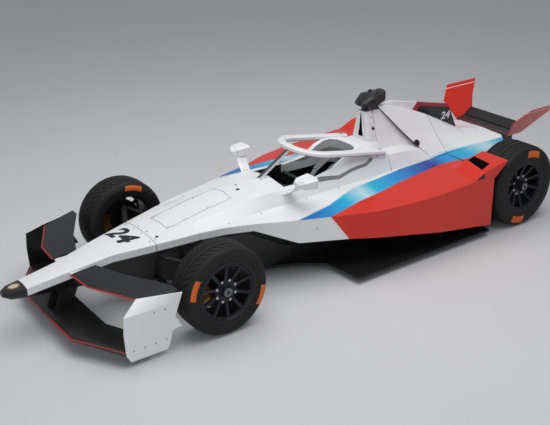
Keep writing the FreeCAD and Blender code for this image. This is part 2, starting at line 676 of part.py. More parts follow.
def kick_section(name, across, share):
    """The kick up in a plane along the car; share is its height over the deck, from 0 to 1."""
    top = [(station + "_x", "kick_start_top + (%s_top - kick_start_top) * %s" % (station, share))
           for station in kick_names]
    bottom = [(station + "_x", "%s_bottom - (1 - %s) * (%s_top - kick_start_top)" % (station, share, station))
              for station in reversed(kick_names)]
    return outline(pod, name, "XZ_Plane", minus(across), top + bottom)


loft(pod, "kick", [kick_section("kick_outer", "pod_end_edge_half", "1"),
                   kick_section("kick_inner", "pod_end_edge_half - 270", "1"),
                   kick_section("kick_root", "pod_end_edge_half - 335", "0.25")])
doc.recompute()
slot = outline(pod, "kick_slot_outline", "XY_Plane", "kick_rise_top - 60", [
    ("kick_rise_x - 52", "pod_end_edge_half - 258"), ("kick_rise_x - 130", "pod_end_edge_half - 258"),
    ("kick_rise_x - 108", "pod_end_edge_half - 70"), ("kick_rise_x + 2", "pod_end_edge_half - 48")])
pocket(pod, "kick_slot", slot, "200", backwards=True)
keep("sidepod_left", pod)
keep("sidepod_right", mirror("pod_right", pod))

# Engine cover, tail and fin


def cover_section(body, station):
    """The cover's inset walls and the ledges beside them."""
    named = lambda part: "%s_%s" % (station, part)
    half = [(named(part + "_half"), named(part + "_height")) for part in ("ridge", "wall", "step", "ledge", "foot")]
    half += [("tub_half", named("foot_height") + " - 14"), ("tub_half", "cap_height")]
    return outline(body, station + "_section", "YZ_Plane", named("x"), both_sides(half))


def skin_section(body, station, whole):
    """The outer skin; whole sections go down to the cap and out to the deck's edge."""
    named = lambda part: "%s_%s" % (station, part)
    half = [(named(part + "_half"), named(part + "_height")) for part in ("ridge", "fold", "foot")]
    if whole:
        half += [(named("deck_half"), named("foot_height") + " - 4"), (named("deck_half"), "cap_height")]
    else:
        half += [(named("foot_half") + " - 30", "cap_height + 10")]
    return outline(body, station + "_section", "YZ_Plane", named("x"), both_sides(half))


cover = new_body("cover")
loft(cover, "cover_loft", [cover_section(cover, entry[0]) for entry in COVER])
skin = new_body("skin")
loft(skin, "skin_loft", [skin_section(skin, entry[0], False) for entry in SKIN])
doc.recompute()
slant = outline(skin, "slant_outline", "XZ_Plane", "0", [
    ("skin_front_x + 50", "skin_front_ridge_height + 30"), ("skin_front_x - 22", "skin_front_ridge_height + 30"),
    ("skin_end_x + 128", "cap_height"), ("skin_front_x + 50", "cap_height")])
pocket(skin, "slant", slant, None, both=True)
keep("engine_cover", join("cover_fuse", [cover, skin]))

tail = new_body("tail")
loft(tail, "tail_loft", [skin_section(tail, entry[0], True) for entry in TAIL])
keep("tail_deck", tail)

fin = new_body("fin")
fin_outline = outline(fin, "fin_outline", "XZ_Plane", "0", [
    ("skin_peak_x", "skin_peak_ridge_height"), ("skin_peak_x - 90", "skin_peak_ridge_height + 8"),
    ("skin_middle_x - 440", "skin_end_ridge_height + 57"), ("tail_axle_x + 120", "skin_end_ridge_height + 37"),
    ("tail_axle_x", "tail_axle_ridge_height"), ("skin_end_x", "skin_end_ridge_height"),
    ("skin_middle_x", "skin_middle_ridge_height")])
pad(fin, "fin_pad", fin_outline, "24", both=True)
keep("tail_fin", fin)

# Roll hoop with its camera pod

hoop = new_body("hoop")


def hoop_section(name, level, half):
    return outline(hoop, name, "XY_Plane", level, across_car([
        ("tower_front", "(%s) * 0.8" % half), ("tower_front - 12", half), ("cell_end_x + seam_gap", half)]))


loft(hoop, "hoop_loft", [hoop_section("hoop_foot", "hump_height", "tower_foot_half"),
                         hoop_section("hoop_head", "tower_head", "tower_head_half")])
doc.recompute()
hoop_slot = outline(hoop, "hoop_slot_outline", "YZ_Plane", "tower_front", both_sides([
    ("5", "tower_head - 12"), ("20", "hump_height + 72"), ("27", "hump_height + 68"), ("27", "hump_height + 30")]))
pocket(hoop, "hoop_slot", hoop_slot, "slot_depth")
keep("roll_hoop", hoop)

camera_stalk = block("camera_stalk", "tower_front - 72", "tower_front - 16", "-14", "14", "tower_head",
                     "camera_middle_bottom + 20")
camera = new_body("camera")
camera_sections = []
for name in [entry[0] for entry in CAMERA]:
    camera_sections.append(outline(camera, name + "_section", "YZ_Plane", name + "_x", both_sides([
        (name + "_half * 0.6", name + "_top"), (name + "_half", name + "_top - 10"),
        (name + "_half", name + "_bottom + 8"), (name + "_half * 0.6", name + "_bottom")])))
loft(camera, "camera_loft", camera_sections)
keep("camera_pod", join("camera_pod_fuse", [camera_stalk, camera]))

# Halo: a flat band on a line in a tilted plane, with a centre pillar

halo = new_body("halo_body")
slope = "atan((halo_front_height - halo_rear_height) / (halo_front - halo_rear))"
line = start_sketch(halo, "halo_line", "XY_Plane", "halo_front_height")
line.AttachmentOffset = FreeCAD.Placement(
    FreeCAD.Vector(number("halo_front"), 0, number("halo_front_height")),
    FreeCAD.Rotation(FreeCAD.Vector(0, -1, 0), number(slope)))
line.setExpression("AttachmentOffset.Base.x", tie("halo_front"))
line.setExpression("AttachmentOffset.Rotation.Angle", tie(slope))
reach = "(halo_front - halo_rear) / cos(%s)" % slope
length = number(reach)
half = number("halo_half")
corner = number("halo_corner")
axis = FreeCAD.Vector(0, 0, 1)


def straight(x0, y0, x1, y1):
    line.addGeometry(Part.LineSegment(FreeCAD.Vector(x0, y0, 0), FreeCAD.Vector(x1, y1, 0)), False)


def bend(across, start, end):
    circle = Part.Circle(FreeCAD.Vector(-corner, across, 0), axis, corner)
    line.addGeometry(Part.ArcOfCircle(circle, start, end), False)


straight(-length, half, -corner, half)
bend(half - corner, 0, 1.5707963)
straight(0, half - corner, 0, corner - half)
bend(corner - half, -1.5707963, 0)
straight(-corner, -half, -length, -half)
pin_point(line, 0, 1, minus(reach), "halo_half")
pin_point(line, 0, 2, "-halo_corner", "halo_half")
pin_point(line, 2, 1, "0", "halo_half - halo_corner")
pin_point(line, 2, 2, "0", "halo_corner - halo_half")
pin_point(line, 4, 1, "-halo_corner", "-halo_half")
pin_point(line, 4, 2, minus(reach), "-halo_half")
for first, end, second, start in ((0, 2, 1, 2), (2, 1, 1, 1), (2, 2, 3, 2), (4, 1, 3, 1)):
    line.addConstraint(Sketcher.Constraint("Coincident", first, end, second, start))
for arc in (1, 3):
    middle = line.addConstraint(Sketcher.Constraint("DistanceX", -1, 1, arc, 3, number("-halo_corner")))
    line.setExpression("Constraints[%d]" % middle, tie("-halo_corner"))
doc.recompute()
band = outline(halo, "halo_band_outline", "YZ_Plane", "halo_rear", [
    ("halo_half + %s" % across, "halo_rear_height + %s" % up) for across, up in (
        ("halo_band_half", "halo_band_rise * 0.45"), ("halo_band_half * 0.6", "halo_band_rise"),
        ("-halo_band_half * 0.6", "halo_band_rise"), ("-halo_band_half", "halo_band_rise * 0.45"),
        ("-halo_band_half", "-halo_band_rise * 0.45"), ("-halo_band_half * 0.6", "-halo_band_rise"),
        ("halo_band_half * 0.6", "-halo_band_rise"), ("halo_band_half", "-halo_band_rise * 0.45"))])
sweep = halo.newObject("PartDesign::AdditivePipe", "halo_band")
sweep.Profile = band
sweep.Spine = line
doc.recompute()


def pillar_section(name, level, front, back):
    return outline(halo, name, "XY_Plane", level, [
        (front, "0"), (front + " - 22", "pillar_half"), (back + " + 20", "pillar_half"), (back, "0"),
        (back + " + 20", "-pillar_half"), (front + " - 22", "-pillar_half")])


loft(halo, "halo_pillar", [
    pillar_section("pillar_foot", "plinth_height", "pillar_front", "pillar_back"),
    pillar_section("pillar_head", "halo_front_height - 8", "pillar_head_front", "pillar_head_back")])
for side, sign in (("left", ""), ("right", "-")):
    foot = outline(halo, "halo_foot_" + side, "XY_Plane", "cell_end_top", rectangle(
        "halo_rear - 10", "halo_rear + 60", "%s(halo_half - 20)" % sign, "%s(halo_half + 20)" % sign))
    pad(halo, "halo_foot_pad_" + side, foot, "halo_foot_rise")
keep("halo", halo)

# Head surround and seat

surround = new_body("surround")


def rim_section(station):
    named = lambda part: "%s_%s" % (station, part)
    return outline(surround, station + "_section", "YZ_Plane", named("x"), both_sides([
        ("0", named("middle_height")),
        (named("crest_half"), named("crest_height")),
        (named("lip_half") + " - 1", named("lip_height") + " + 7"),
        (named("lip_half") + " - 1", named("lip_height") + " + seam_gap"),
        (named("foot_half"), named("lip_height") + " + seam_gap"),
        (named("foot_half"), "ledge_height + seam_gap"),
        ("0", "ledge_height + seam_gap"),
    ]))


loft(surround, "surround_loft", [rim_section(name) for name in rim_stations])
doc.recompute()
inside = outline(surround, "surround_inside", "XY_Plane", "ledge_height - 10", across_car([
    ("rim_tip_x + 10", "rim_inner_front_half"), ("rim_wheel_x", "rim_inner_half + 9"),
    ("rim_head_x", "rim_inner_half"), ("rim_inner_back + 40", "rim_inner_half - 12"),
    ("rim_inner_back + 12", "rim_inner_half - 55"), ("rim_inner_back", "rim_inner_half - 110")]))
pocket(surround, "surround_opening", inside, "400", backwards=True)
keep("head_surround", surround)

seat = new_body("seat_body")
seat_outline = outline(seat, "seat_outline", "XZ_Plane", "0", [
    ("seat_front", "well_floor + seam_gap"), ("seat_front", "well_floor + 45"),
    ("seat_back + 222", "well_floor + 60"), ("seat_back + 57", "seat_top"), ("seat_back + 12", "seat_top"),
    ("seat_back", "seat_top - 60"), ("seat_back + 132", "well_floor + seam_gap")])
pad(seat, "seat_pad", seat_outline, "2 * seat_half", both=True)
doc.recompute()
hollow = outline(seat, "seat_hollow_outline", "XZ_Plane", "0", [
    ("seat_front - 40", "well_floor + 80"), ("seat_front - 40", "well_floor + 25"),
    ("seat_back + 205", "well_floor + 36"), ("seat_back + 48", "seat_top - 60"),
    ("seat_back + 62", "seat_top + 20"), ("seat_back + 250", "well_floor + 80")])
pocket(seat, "seat_hollow", hollow, "2 * (seat_half - 35)", both=True)
keep("seat", seat)

# Floor and diffuser

board = new_body("board")
floor_outline = outline(board, "floor_outline", "XY_Plane", "floor_bottom",
                        across_car([(entry[0] + "_x", entry[0] + "_half") for entry in FLOOR]))
pad(board, "floor_pad", floor_outline, "floor_thickness")
keep("floor", board)

ramp = new_body("ramp")
ramp_outline = outline(ramp, "ramp_outline", "XZ_Plane", "0", [
    ("floor_end_x", "floor_bottom"), ("diffuser_rear", "diffuser_rise"), ("diffuser_rear", "diffuser_rise + 12"),
    ("floor_end_x", "floor_bottom + floor_thickness")])
pad(ramp, "ramp_pad", ramp_outline, "2 * diffuser_half", both=True)
for name, place in (("outer_left", "diffuser_half - 6"), ("inner_left", "diffuser_half / 3"),
                    ("inner_right", "-diffuser_half / 3"), ("outer_right", "6 - diffuser_half")):
    fence = outline(ramp, name + "_fence_outline", "XZ_Plane", minus(place), [
        ("floor_end_x - seam_gap", "floor_bottom"), ("diffuser_rear", "fence_foot"),
        ("diffuser_rear", "diffuser_rise + 12"), ("floor_end_x - seam_gap", "floor_bottom + floor_thickness")])
    pad(ramp, name + "_fence", fence, "12", both=True)
keep("diffuser", ramp)

# Heavy blocks inside, rear crash box and light

keep("battery_pack", block("battery_block", "block_rear", "cell_end_x", "-block_half", "block_half",
                           "floor_bottom + floor_thickness", "cap_height"))
keep("rear_drive_unit", block("drive_block", "drive_rear", "block_rear", "-drive_half", "drive_half",
                              "drive_bottom", "cap_height"))
crash = new_body("crash")
crash_sections = []
for name, place, half, low in (("front", "drive_rear", "crash_front_half", "crash_bottom_front"),
                               ("rear", "crash_rear", "crash_rear_half", "crash_bottom_rear")):
    crash_sections.append(outline(crash, "crash_section_" + name, "YZ_Plane", place, [
        (half, low), (half, "crash_top"), (minus(half), "crash_top"), (minus(half), low)]))
loft(crash, "crash_loft", crash_sections)
bar = doc.addObject("Part::Cylinder", "jack_bar")
bar.Placement = FreeCAD.Placement(FreeCAD.Vector(0, 0, 0), FreeCAD.Rotation(FreeCAD.Vector(1, 0, 0), -90))
bar.setExpression("Radius", tie("jack_bar_radius"))
bar.setExpression("Height", tie("jack_bar_length"))
move(bar, "jack_bar_x", "-jack_bar_length / 2", "jack_bar_height")
lug = block("jack_lug", "jack_bar_x - jack_bar_radius - 4", "jack_bar_x + jack_bar_radius + 4", "-jack_lug_half",
            "jack_lug_half", "jack_bar_height - jack_bar_radius - 4", "crash_bottom_rear + 15")
light = block("light_block", "crash_rear - 22", "crash_rear", "-40", "40", "crash_bottom_rear + 7", "crash_top - 31")
keep("rear_crash_box", join("crash_fuse", [crash, bar, light, lug]))

# Front wing


def aerofoil(body, name, half, front, height, chord, rise, thickness):
    """A wing section in a plane across the span: front edge, crown, tail and belly."""
    back = "(%s) - (%s)" % (front, chord)
    points = [
        (front, height),
        ("(%s) - (%s) * 0.06" % (front, chord), "(%s) + (%s) * 0.34 + (%s) * 0.03" % (height, thickness, rise)),
        ("(%s) - (%s) * 0.3" % (front, chord), "(%s) + (%s) * 0.5 + (%s) * 0.2" % (height, thickness, rise)),
        (back, "(%s) + (%s) + 2" % (height, rise)),
        (back, "(%s) + (%s) - 2" % (height, rise)),
        ("(%s) - (%s) * 0.3" % (front, chord), "(%s) - (%s) * 0.5 + (%s) * 0.2" % (height, thickness, rise)),
        ("(%s) - (%s) * 0.06" % (front, chord), "(%s) - (%s) * 0.34" % (height, thickness)),
    ]
    return outline(body, name, "XZ_Plane", minus(half), points)


lower = new_body("lower_wing")
tip_args = ("lower_wing_tip_front", "lower_wing_tip_height", "lower_wing_chord", "24", "wing_thickness")
kink_args = ("lower_wing_kink_front", "lower_wing_height", "lower_wing_chord", "30", "wing_thickness")
loft(lower, "lower_wing_loft", [
    aerofoil(lower, "lower_tip_left", "lower_wing_tip_half", *tip_args),
    aerofoil(lower, "lower_kink_left", "lower_wing_kink_half", *kink_args),
    aerofoil(lower, "lower_kink_right", "-lower_wing_kink_half", *kink_args),
    aerofoil(lower, "lower_tip_right", "-lower_wing_tip_half", *tip_args)])
for side, sign in (("left", 1), ("right", -1)):
    loft(lower, "pylon_%s" % side, [
        pylon_section(lower, "pylon_%s_foot" % side, sign, "lower_wing_height + 2", "pylon_front + 60",
                      "pylon_back + 70"),
        pylon_section(lower, "pylon_%s_head" % side, sign, "pylon_top", "pylon_front", "pylon_back")])
keep("front_wing_lower", lower)

upper = new_body("upper_wing")
loft(upper, "upper_wing_loft", [
    aerofoil(upper, "upper_root", "upper_wing_root_half", "upper_wing_root_front", "upper_wing_height",
             "upper_wing_root_chord", "20", "wing_thickness"),
    aerofoil(upper, "upper_kink", "upper_wing_kink_half", "upper_wing_kink_front", "upper_wing_height",
             "upper_wing_kink_chord", "24", "wing_thickness"),
    aerofoil(upper, "upper_tip", "upper_wing_tip_half", "upper_wing_tip_front", "upper_wing_height",
             "upper_wing_tip_chord", "24", "wing_thickness"),
    aerofoil(upper, "upper_corner", "upper_wing_corner_half", "upper_wing_corner_front", "upper_wing_height + 18",
             "30", "4", "wing_thickness / 3")])
upper_copy = mirror("upper_wing_right", upper)
keep("front_wing_upper", group_of("upper_wings", [upper, upper_copy]))

plate = new_body("front_plate")
plate_sections = []
for name in [entry[0] for entry in PLATE]:
    front = (name + "_front", name + "_front_half")
    back = (name + "_back", name + "_back_half")
    plate_sections.append(outline(plate, name + "_section", "XY_Plane", name + "_height", [
        front, back, (back[0], back[1] + " - end_plate_thickness"), (front[0], front[1] + " - end_plate_thickness")]))
loft(plate, "plate_loft", plate_sections)
fin_tip = outline(plate, "plate_fin_outline", "XZ_Plane", "-plate_waist_back_half", [
    ("plate_waist_back + 40", "plate_waist_height + 30"), ("plate_waist_back", "plate_waist_height + 25"),
    ("plate_waist_back - 50", "plate_waist_height - 72"), ("plate_waist_back + 40", "plate_waist_height - 84")])
pad(plate, "plate_fin", fin_tip, "end_plate_thickness")
keep("front_endplate_left", plate)
keep("front_endplate_right", mirror("front_plate_right", plate))

# Rear wing

rear = new_body("rear_wing_body")
main_args = ("rear_wing_front", "rear_wing_height", "rear_wing_chord", "14", "wing_thickness")
flap_args = ("rear_flap_front", "rear_flap_height", "rear_flap_chord", "42", "wing_thickness * 0.7")
loft(rear, "main_plane", [aerofoil(rear, "main_left", "rear_wing_half", *main_args),
                          aerofoil(rear, "main_right", "-rear_wing_half", *main_args)])
doc.recompute()


def trim_ends(body, name):
    """Cuts a plane's ends on the slant of the rear end plates, a seam inside them."""
    inner = "- end_plate_thickness - seam_gap"
    foot = "rear_plate_foot_half %s" % inner
    rise = "(rear_plate_head_half - rear_plate_foot_half) / (rear_plate_head_height - rear_plate_foot_height)"
    low = "(%s) - 100 * (%s)" % (foot, rise)
    high = "(%s) + 200 * (%s)" % (foot, rise)
    for side, sign in (("left", ""), ("right", "-")):
        corner = outline(body, "%s_%s_trim" % (name, side), "YZ_Plane", "0", [
            ("%s(%s)" % (sign, low), "rear_plate_foot_height - 100"),
            ("%s(%s)" % (sign, high), "rear_plate_foot_height + 200"),
            ("%s700" % sign, "rear_plate_foot_height + 200"), ("%s700" % sign, "rear_plate_foot_height - 100")])
        pocket(body, "%s_%s_cut" % (name, side), corner, None, both=True)


trim_ends(rear, "main")
flap = new_body("rear_flap_body")
loft(flap, "flap_plane", [aerofoil(flap, "flap_left", "rear_flap_half", *flap_args),
                          aerofoil(flap, "flap_right", "-rear_flap_half", *flap_args)])
doc.recompute()
trim_ends(flap, "flap")
pillar = block("rear_pillar", "rear_wing_front - 104", "rear_wing_front - 24", "-14", "14", "crash_top",
               "rear_wing_height + 1")
keep("rear_wing", group_of("rear_wing_group", [join("rear_main_fuse", [rear, pillar]), flap]))

rear_plate = new_body("rear_plate")
head = lambda share: "rear_plate_foot_half + (rear_plate_head_half - rear_plate_foot_half) * %s" % share
level = lambda share: "rear_plate_foot_height + (rear_plate_head_height - rear_plate_foot_height) * %s" % share
rear_levels = [(0.0, -2072, -2262), (0.6, -2004, -2390), (1.0, -2125, -2508)]
rear_sections = []
for index, (share, front, back) in enumerate(rear_levels):
    rear_sections.append(outline(rear_plate, "rear_plate_section_%d" % index, "XY_Plane", level(share), [
        (str(front), head(share)), (str(back), head(share)), (str(back), head(share) + " - end_plate_thickness"),
        (str(front), head(share) + " - end_plate_thickness")]))
loft(rear_plate, "rear_plate_loft", rear_sections)
keep("rear_endplate_left", rear_plate)
keep("rear_endplate_right", mirror("rear_plate_right", rear_plate))

# Mirrors

glass = new_body("side_mirror")


def stalk_section(name, half, front, back, level, thickness):
    return outline(glass, name, "XZ_Plane", minus(half), [
        (front, level), (front + " - 20", "%s + %s / 2" % (level, thickness)), (back, "%s + 2" % level),
        (back, "%s - 2" % level), (front + " - 20", "%s - %s / 2" % (level, thickness))])


loft(glass, "stalk", [
    stalk_section("stalk_foot", "mirror_foot_half + seam_gap", "mirror_foot_front - 6", "mirror_foot_back",
                  "mirror_foot_height", "stalk_thickness"),
    stalk_section("stalk_bend", "mirror_foot_half + 85", "mirror_foot_front - 26", "mirror_foot_back - 30",
                  "mirror_foot_height + 52", "stalk_thickness"),
    stalk_section("stalk_head", "mirror_foot_half + 135", "housing_brow_x", "housing_back_x + 14",
                  "housing_brow_bottom + 12", "stalk_thickness * 1.4")])
housing_sections = []
for name in [entry[0] for entry in HOUSING]:
    inner, outer, low, high = [name + part for part in ("_inner", "_outer", "_bottom", "_top")]
    housing_sections.append(outline(glass, name + "_section", "YZ_Plane", name + "_x", [
        (inner, low + " + 10"), (inner, high + " - 14"), (inner + " + 16", high), (outer + " - 22", high + " - 2"),
        (outer, high + " - 20"), (outer + " - 5", low + " + 3"), (outer + " - 14", low), (inner + " + 12", low)]))
loft(glass, "housing", housing_sections)
keep("mirror_left", glass)
keep("mirror_right", mirror("side_mirror_right", glass))

# Suspension: flat legs between the cell and the uprights


def leg(body, name, outer, inner, chord="blade_chord", thickness="blade_thickness"):
    """A flat leg between two points, each given as x, y, z."""
    ends = []
    for index, (x, y, z) in enumerate((outer, inner)):
        ends.append(outline(body, "%s_end_%d" % (name, index), "XZ_Plane", minus(y), [
            ("(%s) + (%s) / 2" % (x, chord), z), ("(%s) + (%s) / 5" % (x, chord), "(%s) + (%s) / 2" % (z, thickness)),
            ("(%s) - (%s) / 2" % (x, chord), z), ("(%s) + (%s) / 5" % (x, chord), "(%s) - (%s) / 2" % (z, thickness))]))
    loft(body, name, ends)


def wishbone(label, axle_x, joint_half, joint_height, pickup_half, pickup_height, front, back):
    """Two legs from a round boss on the upright to the cell."""
    body = new_body(label)
    boss = ring(body, label + "_boss_outline", "XY_Plane", "(%s) - boss_height / 2" % joint_height, axle_x,
                joint_half, "boss_radius")
    pad(body, label + "_boss", boss, "boss_height")
    for name, reach in (("front", "(%s) + (%s)" % (axle_x, front)), ("back", "(%s) - (%s)" % (axle_x, back))):
        leg(body, "%s_%s_leg" % (label, name), (axle_x, joint_half, joint_height),
            (reach, pickup_half, pickup_height))
    return body


rear_axle_x = "(front_axle_x - wheelbase)"
front_upper = wishbone("front_upper_arm", "front_axle_x", "kingpin_half",
                       "front_tyre_radius + ball_joint_rise + boss_height / 2", "front_upper_pickup_half",
                       "front_upper_pickup", "front_leg_front", "front_leg_back")
front_lower = wishbone("front_lower_arm", "front_axle_x", "kingpin_half",
                       "front_tyre_radius - ball_joint_rise - boss_height / 2", "front_lower_pickup_half",
                       "front_lower_pickup", "front_leg_front", "front_leg_back")
front_shaft = doc.addObject("Part::Cylinder", "front_half_shaft")
front_shaft.Placement = FreeCAD.Placement(FreeCAD.Vector(0, 0, 0), FreeCAD.Rotation(FreeCAD.Vector(1, 0, 0), -90))
front_shaft.setExpression("Radius", tie("shaft_radius"))
front_shaft.setExpression("Height", tie("kingpin_half - upright_thickness / 2 - 14 - front_shaft_flange_half"))
move(front_shaft, "front_axle_x", "front_shaft_flange_half", "front_tyre_radius")
front_arms = group_of("front_arms_left", [front_upper, front_lower, front_shaft])
keep("front_wishbones_left", front_arms)
keep("front_wishbones_right", mirror("front_arms_right", front_arms))

rear_upper = wishbone("rear_upper_arm", rear_axle_x, "rear_joint_half",
                      "rear_tyre_radius + ball_joint_rise + boss_height / 2", "drive_half",
                      "rear_upper_pickup", "rear_leg_front", "rear_leg_back")
rear_lower = wishbone("rear_lower_arm", rear_axle_x, "rear_joint_half",
                      "rear_tyre_radius - ball_joint_rise - boss_height / 2", "drive_half",
                      "rear_lower_pickup", "rear_leg_front", "rear_leg_back")
rear_arms = group_of("rear_arms_left", [rear_upper, rear_lower])
keep("rear_wishbones_left", rear_arms)
keep("rear_wishbones_right", mirror("rear_arms_right", rear_arms))

# Uprights


def upright(label, axle_x, half, radius, bore):
    """A hollow block between the two wishbone bosses."""
    body = new_body(label)
    face = outline(body, label + "_outline", "XZ_Plane", minus(half), [
        ("(%s) + upright_half_length" % axle_x, "(%s) - ball_joint_rise * 0.5" % radius),
        ("(%s) + upright_half_length" % axle_x, "(%s) + ball_joint_rise * 0.5" % radius),
        ("(%s) + boss_radius" % axle_x, "(%s) + ball_joint_rise - seam_gap" % radius),
        ("(%s) - boss_radius" % axle_x, "(%s) + ball_joint_rise - seam_gap" % radius),
        ("(%s) - upright_half_length" % axle_x, "(%s) + ball_joint_rise * 0.5" % radius),
        ("(%s) - upright_half_length" % axle_x, "(%s) - ball_joint_rise * 0.5" % radius),
        ("(%s) - boss_radius" % axle_x, "(%s) - ball_joint_rise + seam_gap" % radius),
        ("(%s) + boss_radius" % axle_x, "(%s) - ball_joint_rise + seam_gap" % radius)])
    pad(body, label + "_block", face, "upright_thickness", both=True)
    doc.recompute()
    hole = ring(body, label + "_bore_outline", "XZ_Plane", minus(half), axle_x, radius, bore)
    pocket(body, label + "_bore", hole, None, both=True)
    return body


front_upright = upright("front_knuckle", "front_axle_x", "kingpin_half", "front_tyre_radius", "stub_radius - 4")
doc.recompute()
stub = ring(front_upright, "stub_outline", "XZ_Plane", "-(kingpin_half + upright_thickness / 2)", "front_axle_x",
            "front_tyre_radius", "stub_radius")
pad(front_upright, "stub", stub, "car_half_width - front_tyre_width / 2 + stub_reach - kingpin_half - upright_thickness / 2",
    backwards=True)
arm = outline(front_upright, "arm_outline", "XY_Plane", "front_tyre_radius - track_rod_drop - 16", [
    ("front_axle_x - upright_half_length / 3", "kingpin_half - 22"),
    ("front_axle_x - upright_half_length / 3", "kingpin_half + 22"),
    ("front_axle_x - track_rod_back - pin_radius - 4", "kingpin_half + 10"),
    ("front_axle_x - track_rod_back - pin_radius - 4", "kingpin_half - 10")])
pad(front_upright, "arm", arm, "12", backwards=True)
pin = ring(front_upright, "pin_outline", "XY_Plane", "front_tyre_radius - track_rod_drop - 18",
           "front_axle_x - track_rod_back", "kingpin_half", "pin_radius")
pad(front_upright, "pin", pin, "34")
keep("front_upright_left", front_upright)
keep("front_upright_right", mirror("front_knuckle_right", front_upright))

rear_upright = upright("rear_knuckle", rear_axle_x, "rear_joint_half", "rear_tyre_radius", "41")
keep("rear_upright_left", rear_upright)
keep("rear_upright_right", mirror("rear_knuckle_right", rear_upright))

# Steering rack with its track rods, in the tunnel through the cell

rack = doc.addObject("Part::Cylinder", "rack_bar")
rack.Placement = FreeCAD.Placement(FreeCAD.Vector(0, 0, 0), FreeCAD.Rotation(FreeCAD.Vector(1, 0, 0), -90))
rack.setExpression("Radius", tie("track_rod_radius"))
rack.setExpression("Height", tie("2 * (kingpin_half - eye_radius - 2)"))
move(rack, "front_axle_x - track_rod_back", "-(kingpin_half - eye_radius - 2)", "front_tyre_radius - track_rod_drop")
eyes = []
for side, sign in (("left", ""), ("right", "-")):
    outer = doc.addObject("Part::Cylinder", "eye_outer_" + side)
    inner = doc.addObject("Part::Cylinder", "eye_inner_" + side)
    for thing, radius in ((outer, "eye_radius + 6"), (inner, "eye_radius")):
        thing.setExpression("Radius", tie(radius))
        thing.setExpression("Height", "14")
        move(thing, "front_axle_x - track_rod_back + eye_lead", "%skingpin_half" % sign,
             "front_tyre_radius - track_rod_drop - 7")
    eyes.append((outer, inner))
rods = join("rods_fuse", [rack, eyes[0][0], eyes[1][0]])
keep("steering_rack", cut("rods_cut", rods, join("eye_holes", [eyes[0][1], eyes[1][1]])))

# Steering wheel on its column

yoke = new_body("yoke")
yoke.Placement = FreeCAD.Placement(FreeCAD.Vector(0, 0, 0), FreeCAD.Rotation(FreeCAD.Vector(0, 1, 0), 20))
yoke.setExpression("Placement.Rotation.Angle", tie("column_tilt"))
move(yoke, "steering_wheel_x", "0", "steering_wheel_height")
yoke_outline = outline(yoke, "yoke_outline", "YZ_Plane", "-14", [
    ("-steering_wheel_half", "-steering_wheel_depth * 0.3"), ("-steering_wheel_half * 0.6", "-steering_wheel_depth / 2"),
    ("steering_wheel_half * 0.6", "-steering_wheel_depth / 2"), ("steering_wheel_half", "-steering_wheel_depth * 0.3"),
    ("steering_wheel_half", "steering_wheel_depth * 0.4"), ("steering_wheel_half * 0.8", "steering_wheel_depth / 2"),
    ("-steering_wheel_half * 0.8", "steering_wheel_depth / 2"), ("-steering_wheel_half", "steering_wheel_depth * 0.4")])
pad(yoke, "yoke_plate", yoke_outline, "28")
doc.recompute()
for side, sign in (("left", ""), ("right", "-")):
    hold = outline(yoke, "hold_outline_" + side, "YZ_Plane", "0", [
        ("%s(steering_wheel_half - 24)" % sign, "-steering_wheel_depth * 0.22"),
        ("%s(steering_wheel_half - 24)" % sign, "steering_wheel_depth * 0.3"),
        ("%s(steering_wheel_half - 48)" % sign, "steering_wheel_depth * 0.26"),
        ("%s(steering_wheel_half - 52)" % sign, "-steering_wheel_depth * 0.18")])
    pocket(yoke, "hold_" + side, hold, None, both=True)
column = ring(yoke, "column_outline", "YZ_Plane", "0", "0", "0", "column_radius")
pad(yoke, "column", column, "column_length")
keep("steering_wheel", yoke)

# Wheels


def tyre_points(radius, width):
    half = "(%s) / 2" % width
    right = [("rim_radius", "%s - 10" % half), ("rim_radius + 22", "%s - 3" % half), ("rim_radius + 58", half),
             ("(%s) - 16" % radius, "%s - 12" % half), ("(%s) - 4" % radius, "%s - 38" % half),
             (radius, "%s - 75" % half)]
    return right + [(across, minus(up)) for across, up in reversed(right)]


def tyre(label, x, radius, width):
    body = new_body(label)
    move(body, x, "car_half_width - (%s) / 2" % width, radius)
    revolve(body, label + "_turn", outline(body, label + "_profile", "XY_Plane", "0", tyre_points(radius, width)))
    return body


def rim(label, x, radius, width, hub):
    """A rim with its dished face; hub gives the points of the hub from the axis outwards, inner side."""
    body = new_body(label)
    move(body, x, "car_half_width - (%s) / 2" % width, radius)
    edge = "(%s) / 2 - 10" % width
    seat_radius = "rim_radius - seam_gap"
    profile = hub + [
        ("60", "66"), ("rim_radius - 31", "(%s) - 36" % edge), ("rim_radius - 31", "24 - (%s)" % edge),
        ("rim_radius - 14", minus(edge)), (seat_radius, minus(edge)), (seat_radius, "20 - (%s)" % edge),
        ("rim_radius - 23", "36 - (%s)" % edge), ("rim_radius - 23", "(%s) - 36" % edge),
        (seat_radius, "(%s) - 20" % edge), (seat_radius, edge), ("rim_radius - 18", edge),
        ("rim_radius - 28", "(%s) - 12" % edge), ("72", "82"), ("46", "86"), ("38", "(%s) - 4" % edge),
        ("0", "(%s) - 4" % edge)]
    revolve(body, label + "_turn", outline(body, label + "_profile", "XY_Plane", "0", profile))
    doc.recompute()
    window = outline(body, label + "_window_outline", "XZ_Plane", "0", [
        ("84", "-15"), ("rim_radius - 42", "-48"), ("rim_radius - 42", "48"), ("84", "15")])
    opening = pocket(body, label + "_window", window, "(%s)" % edge, backwards=False)
    opening.Reversed = False
    pattern = body.newObject("PartDesign::PolarPattern", label + "_windows")
    pattern.Originals = [opening]
    pattern.Axis = (origin_of(body, "Y_Axis"), [""])
    pattern.Angle = 360
    pattern.setExpression("Occurrences", tie("spoke_count"))
    body.Tip = pattern
    return body


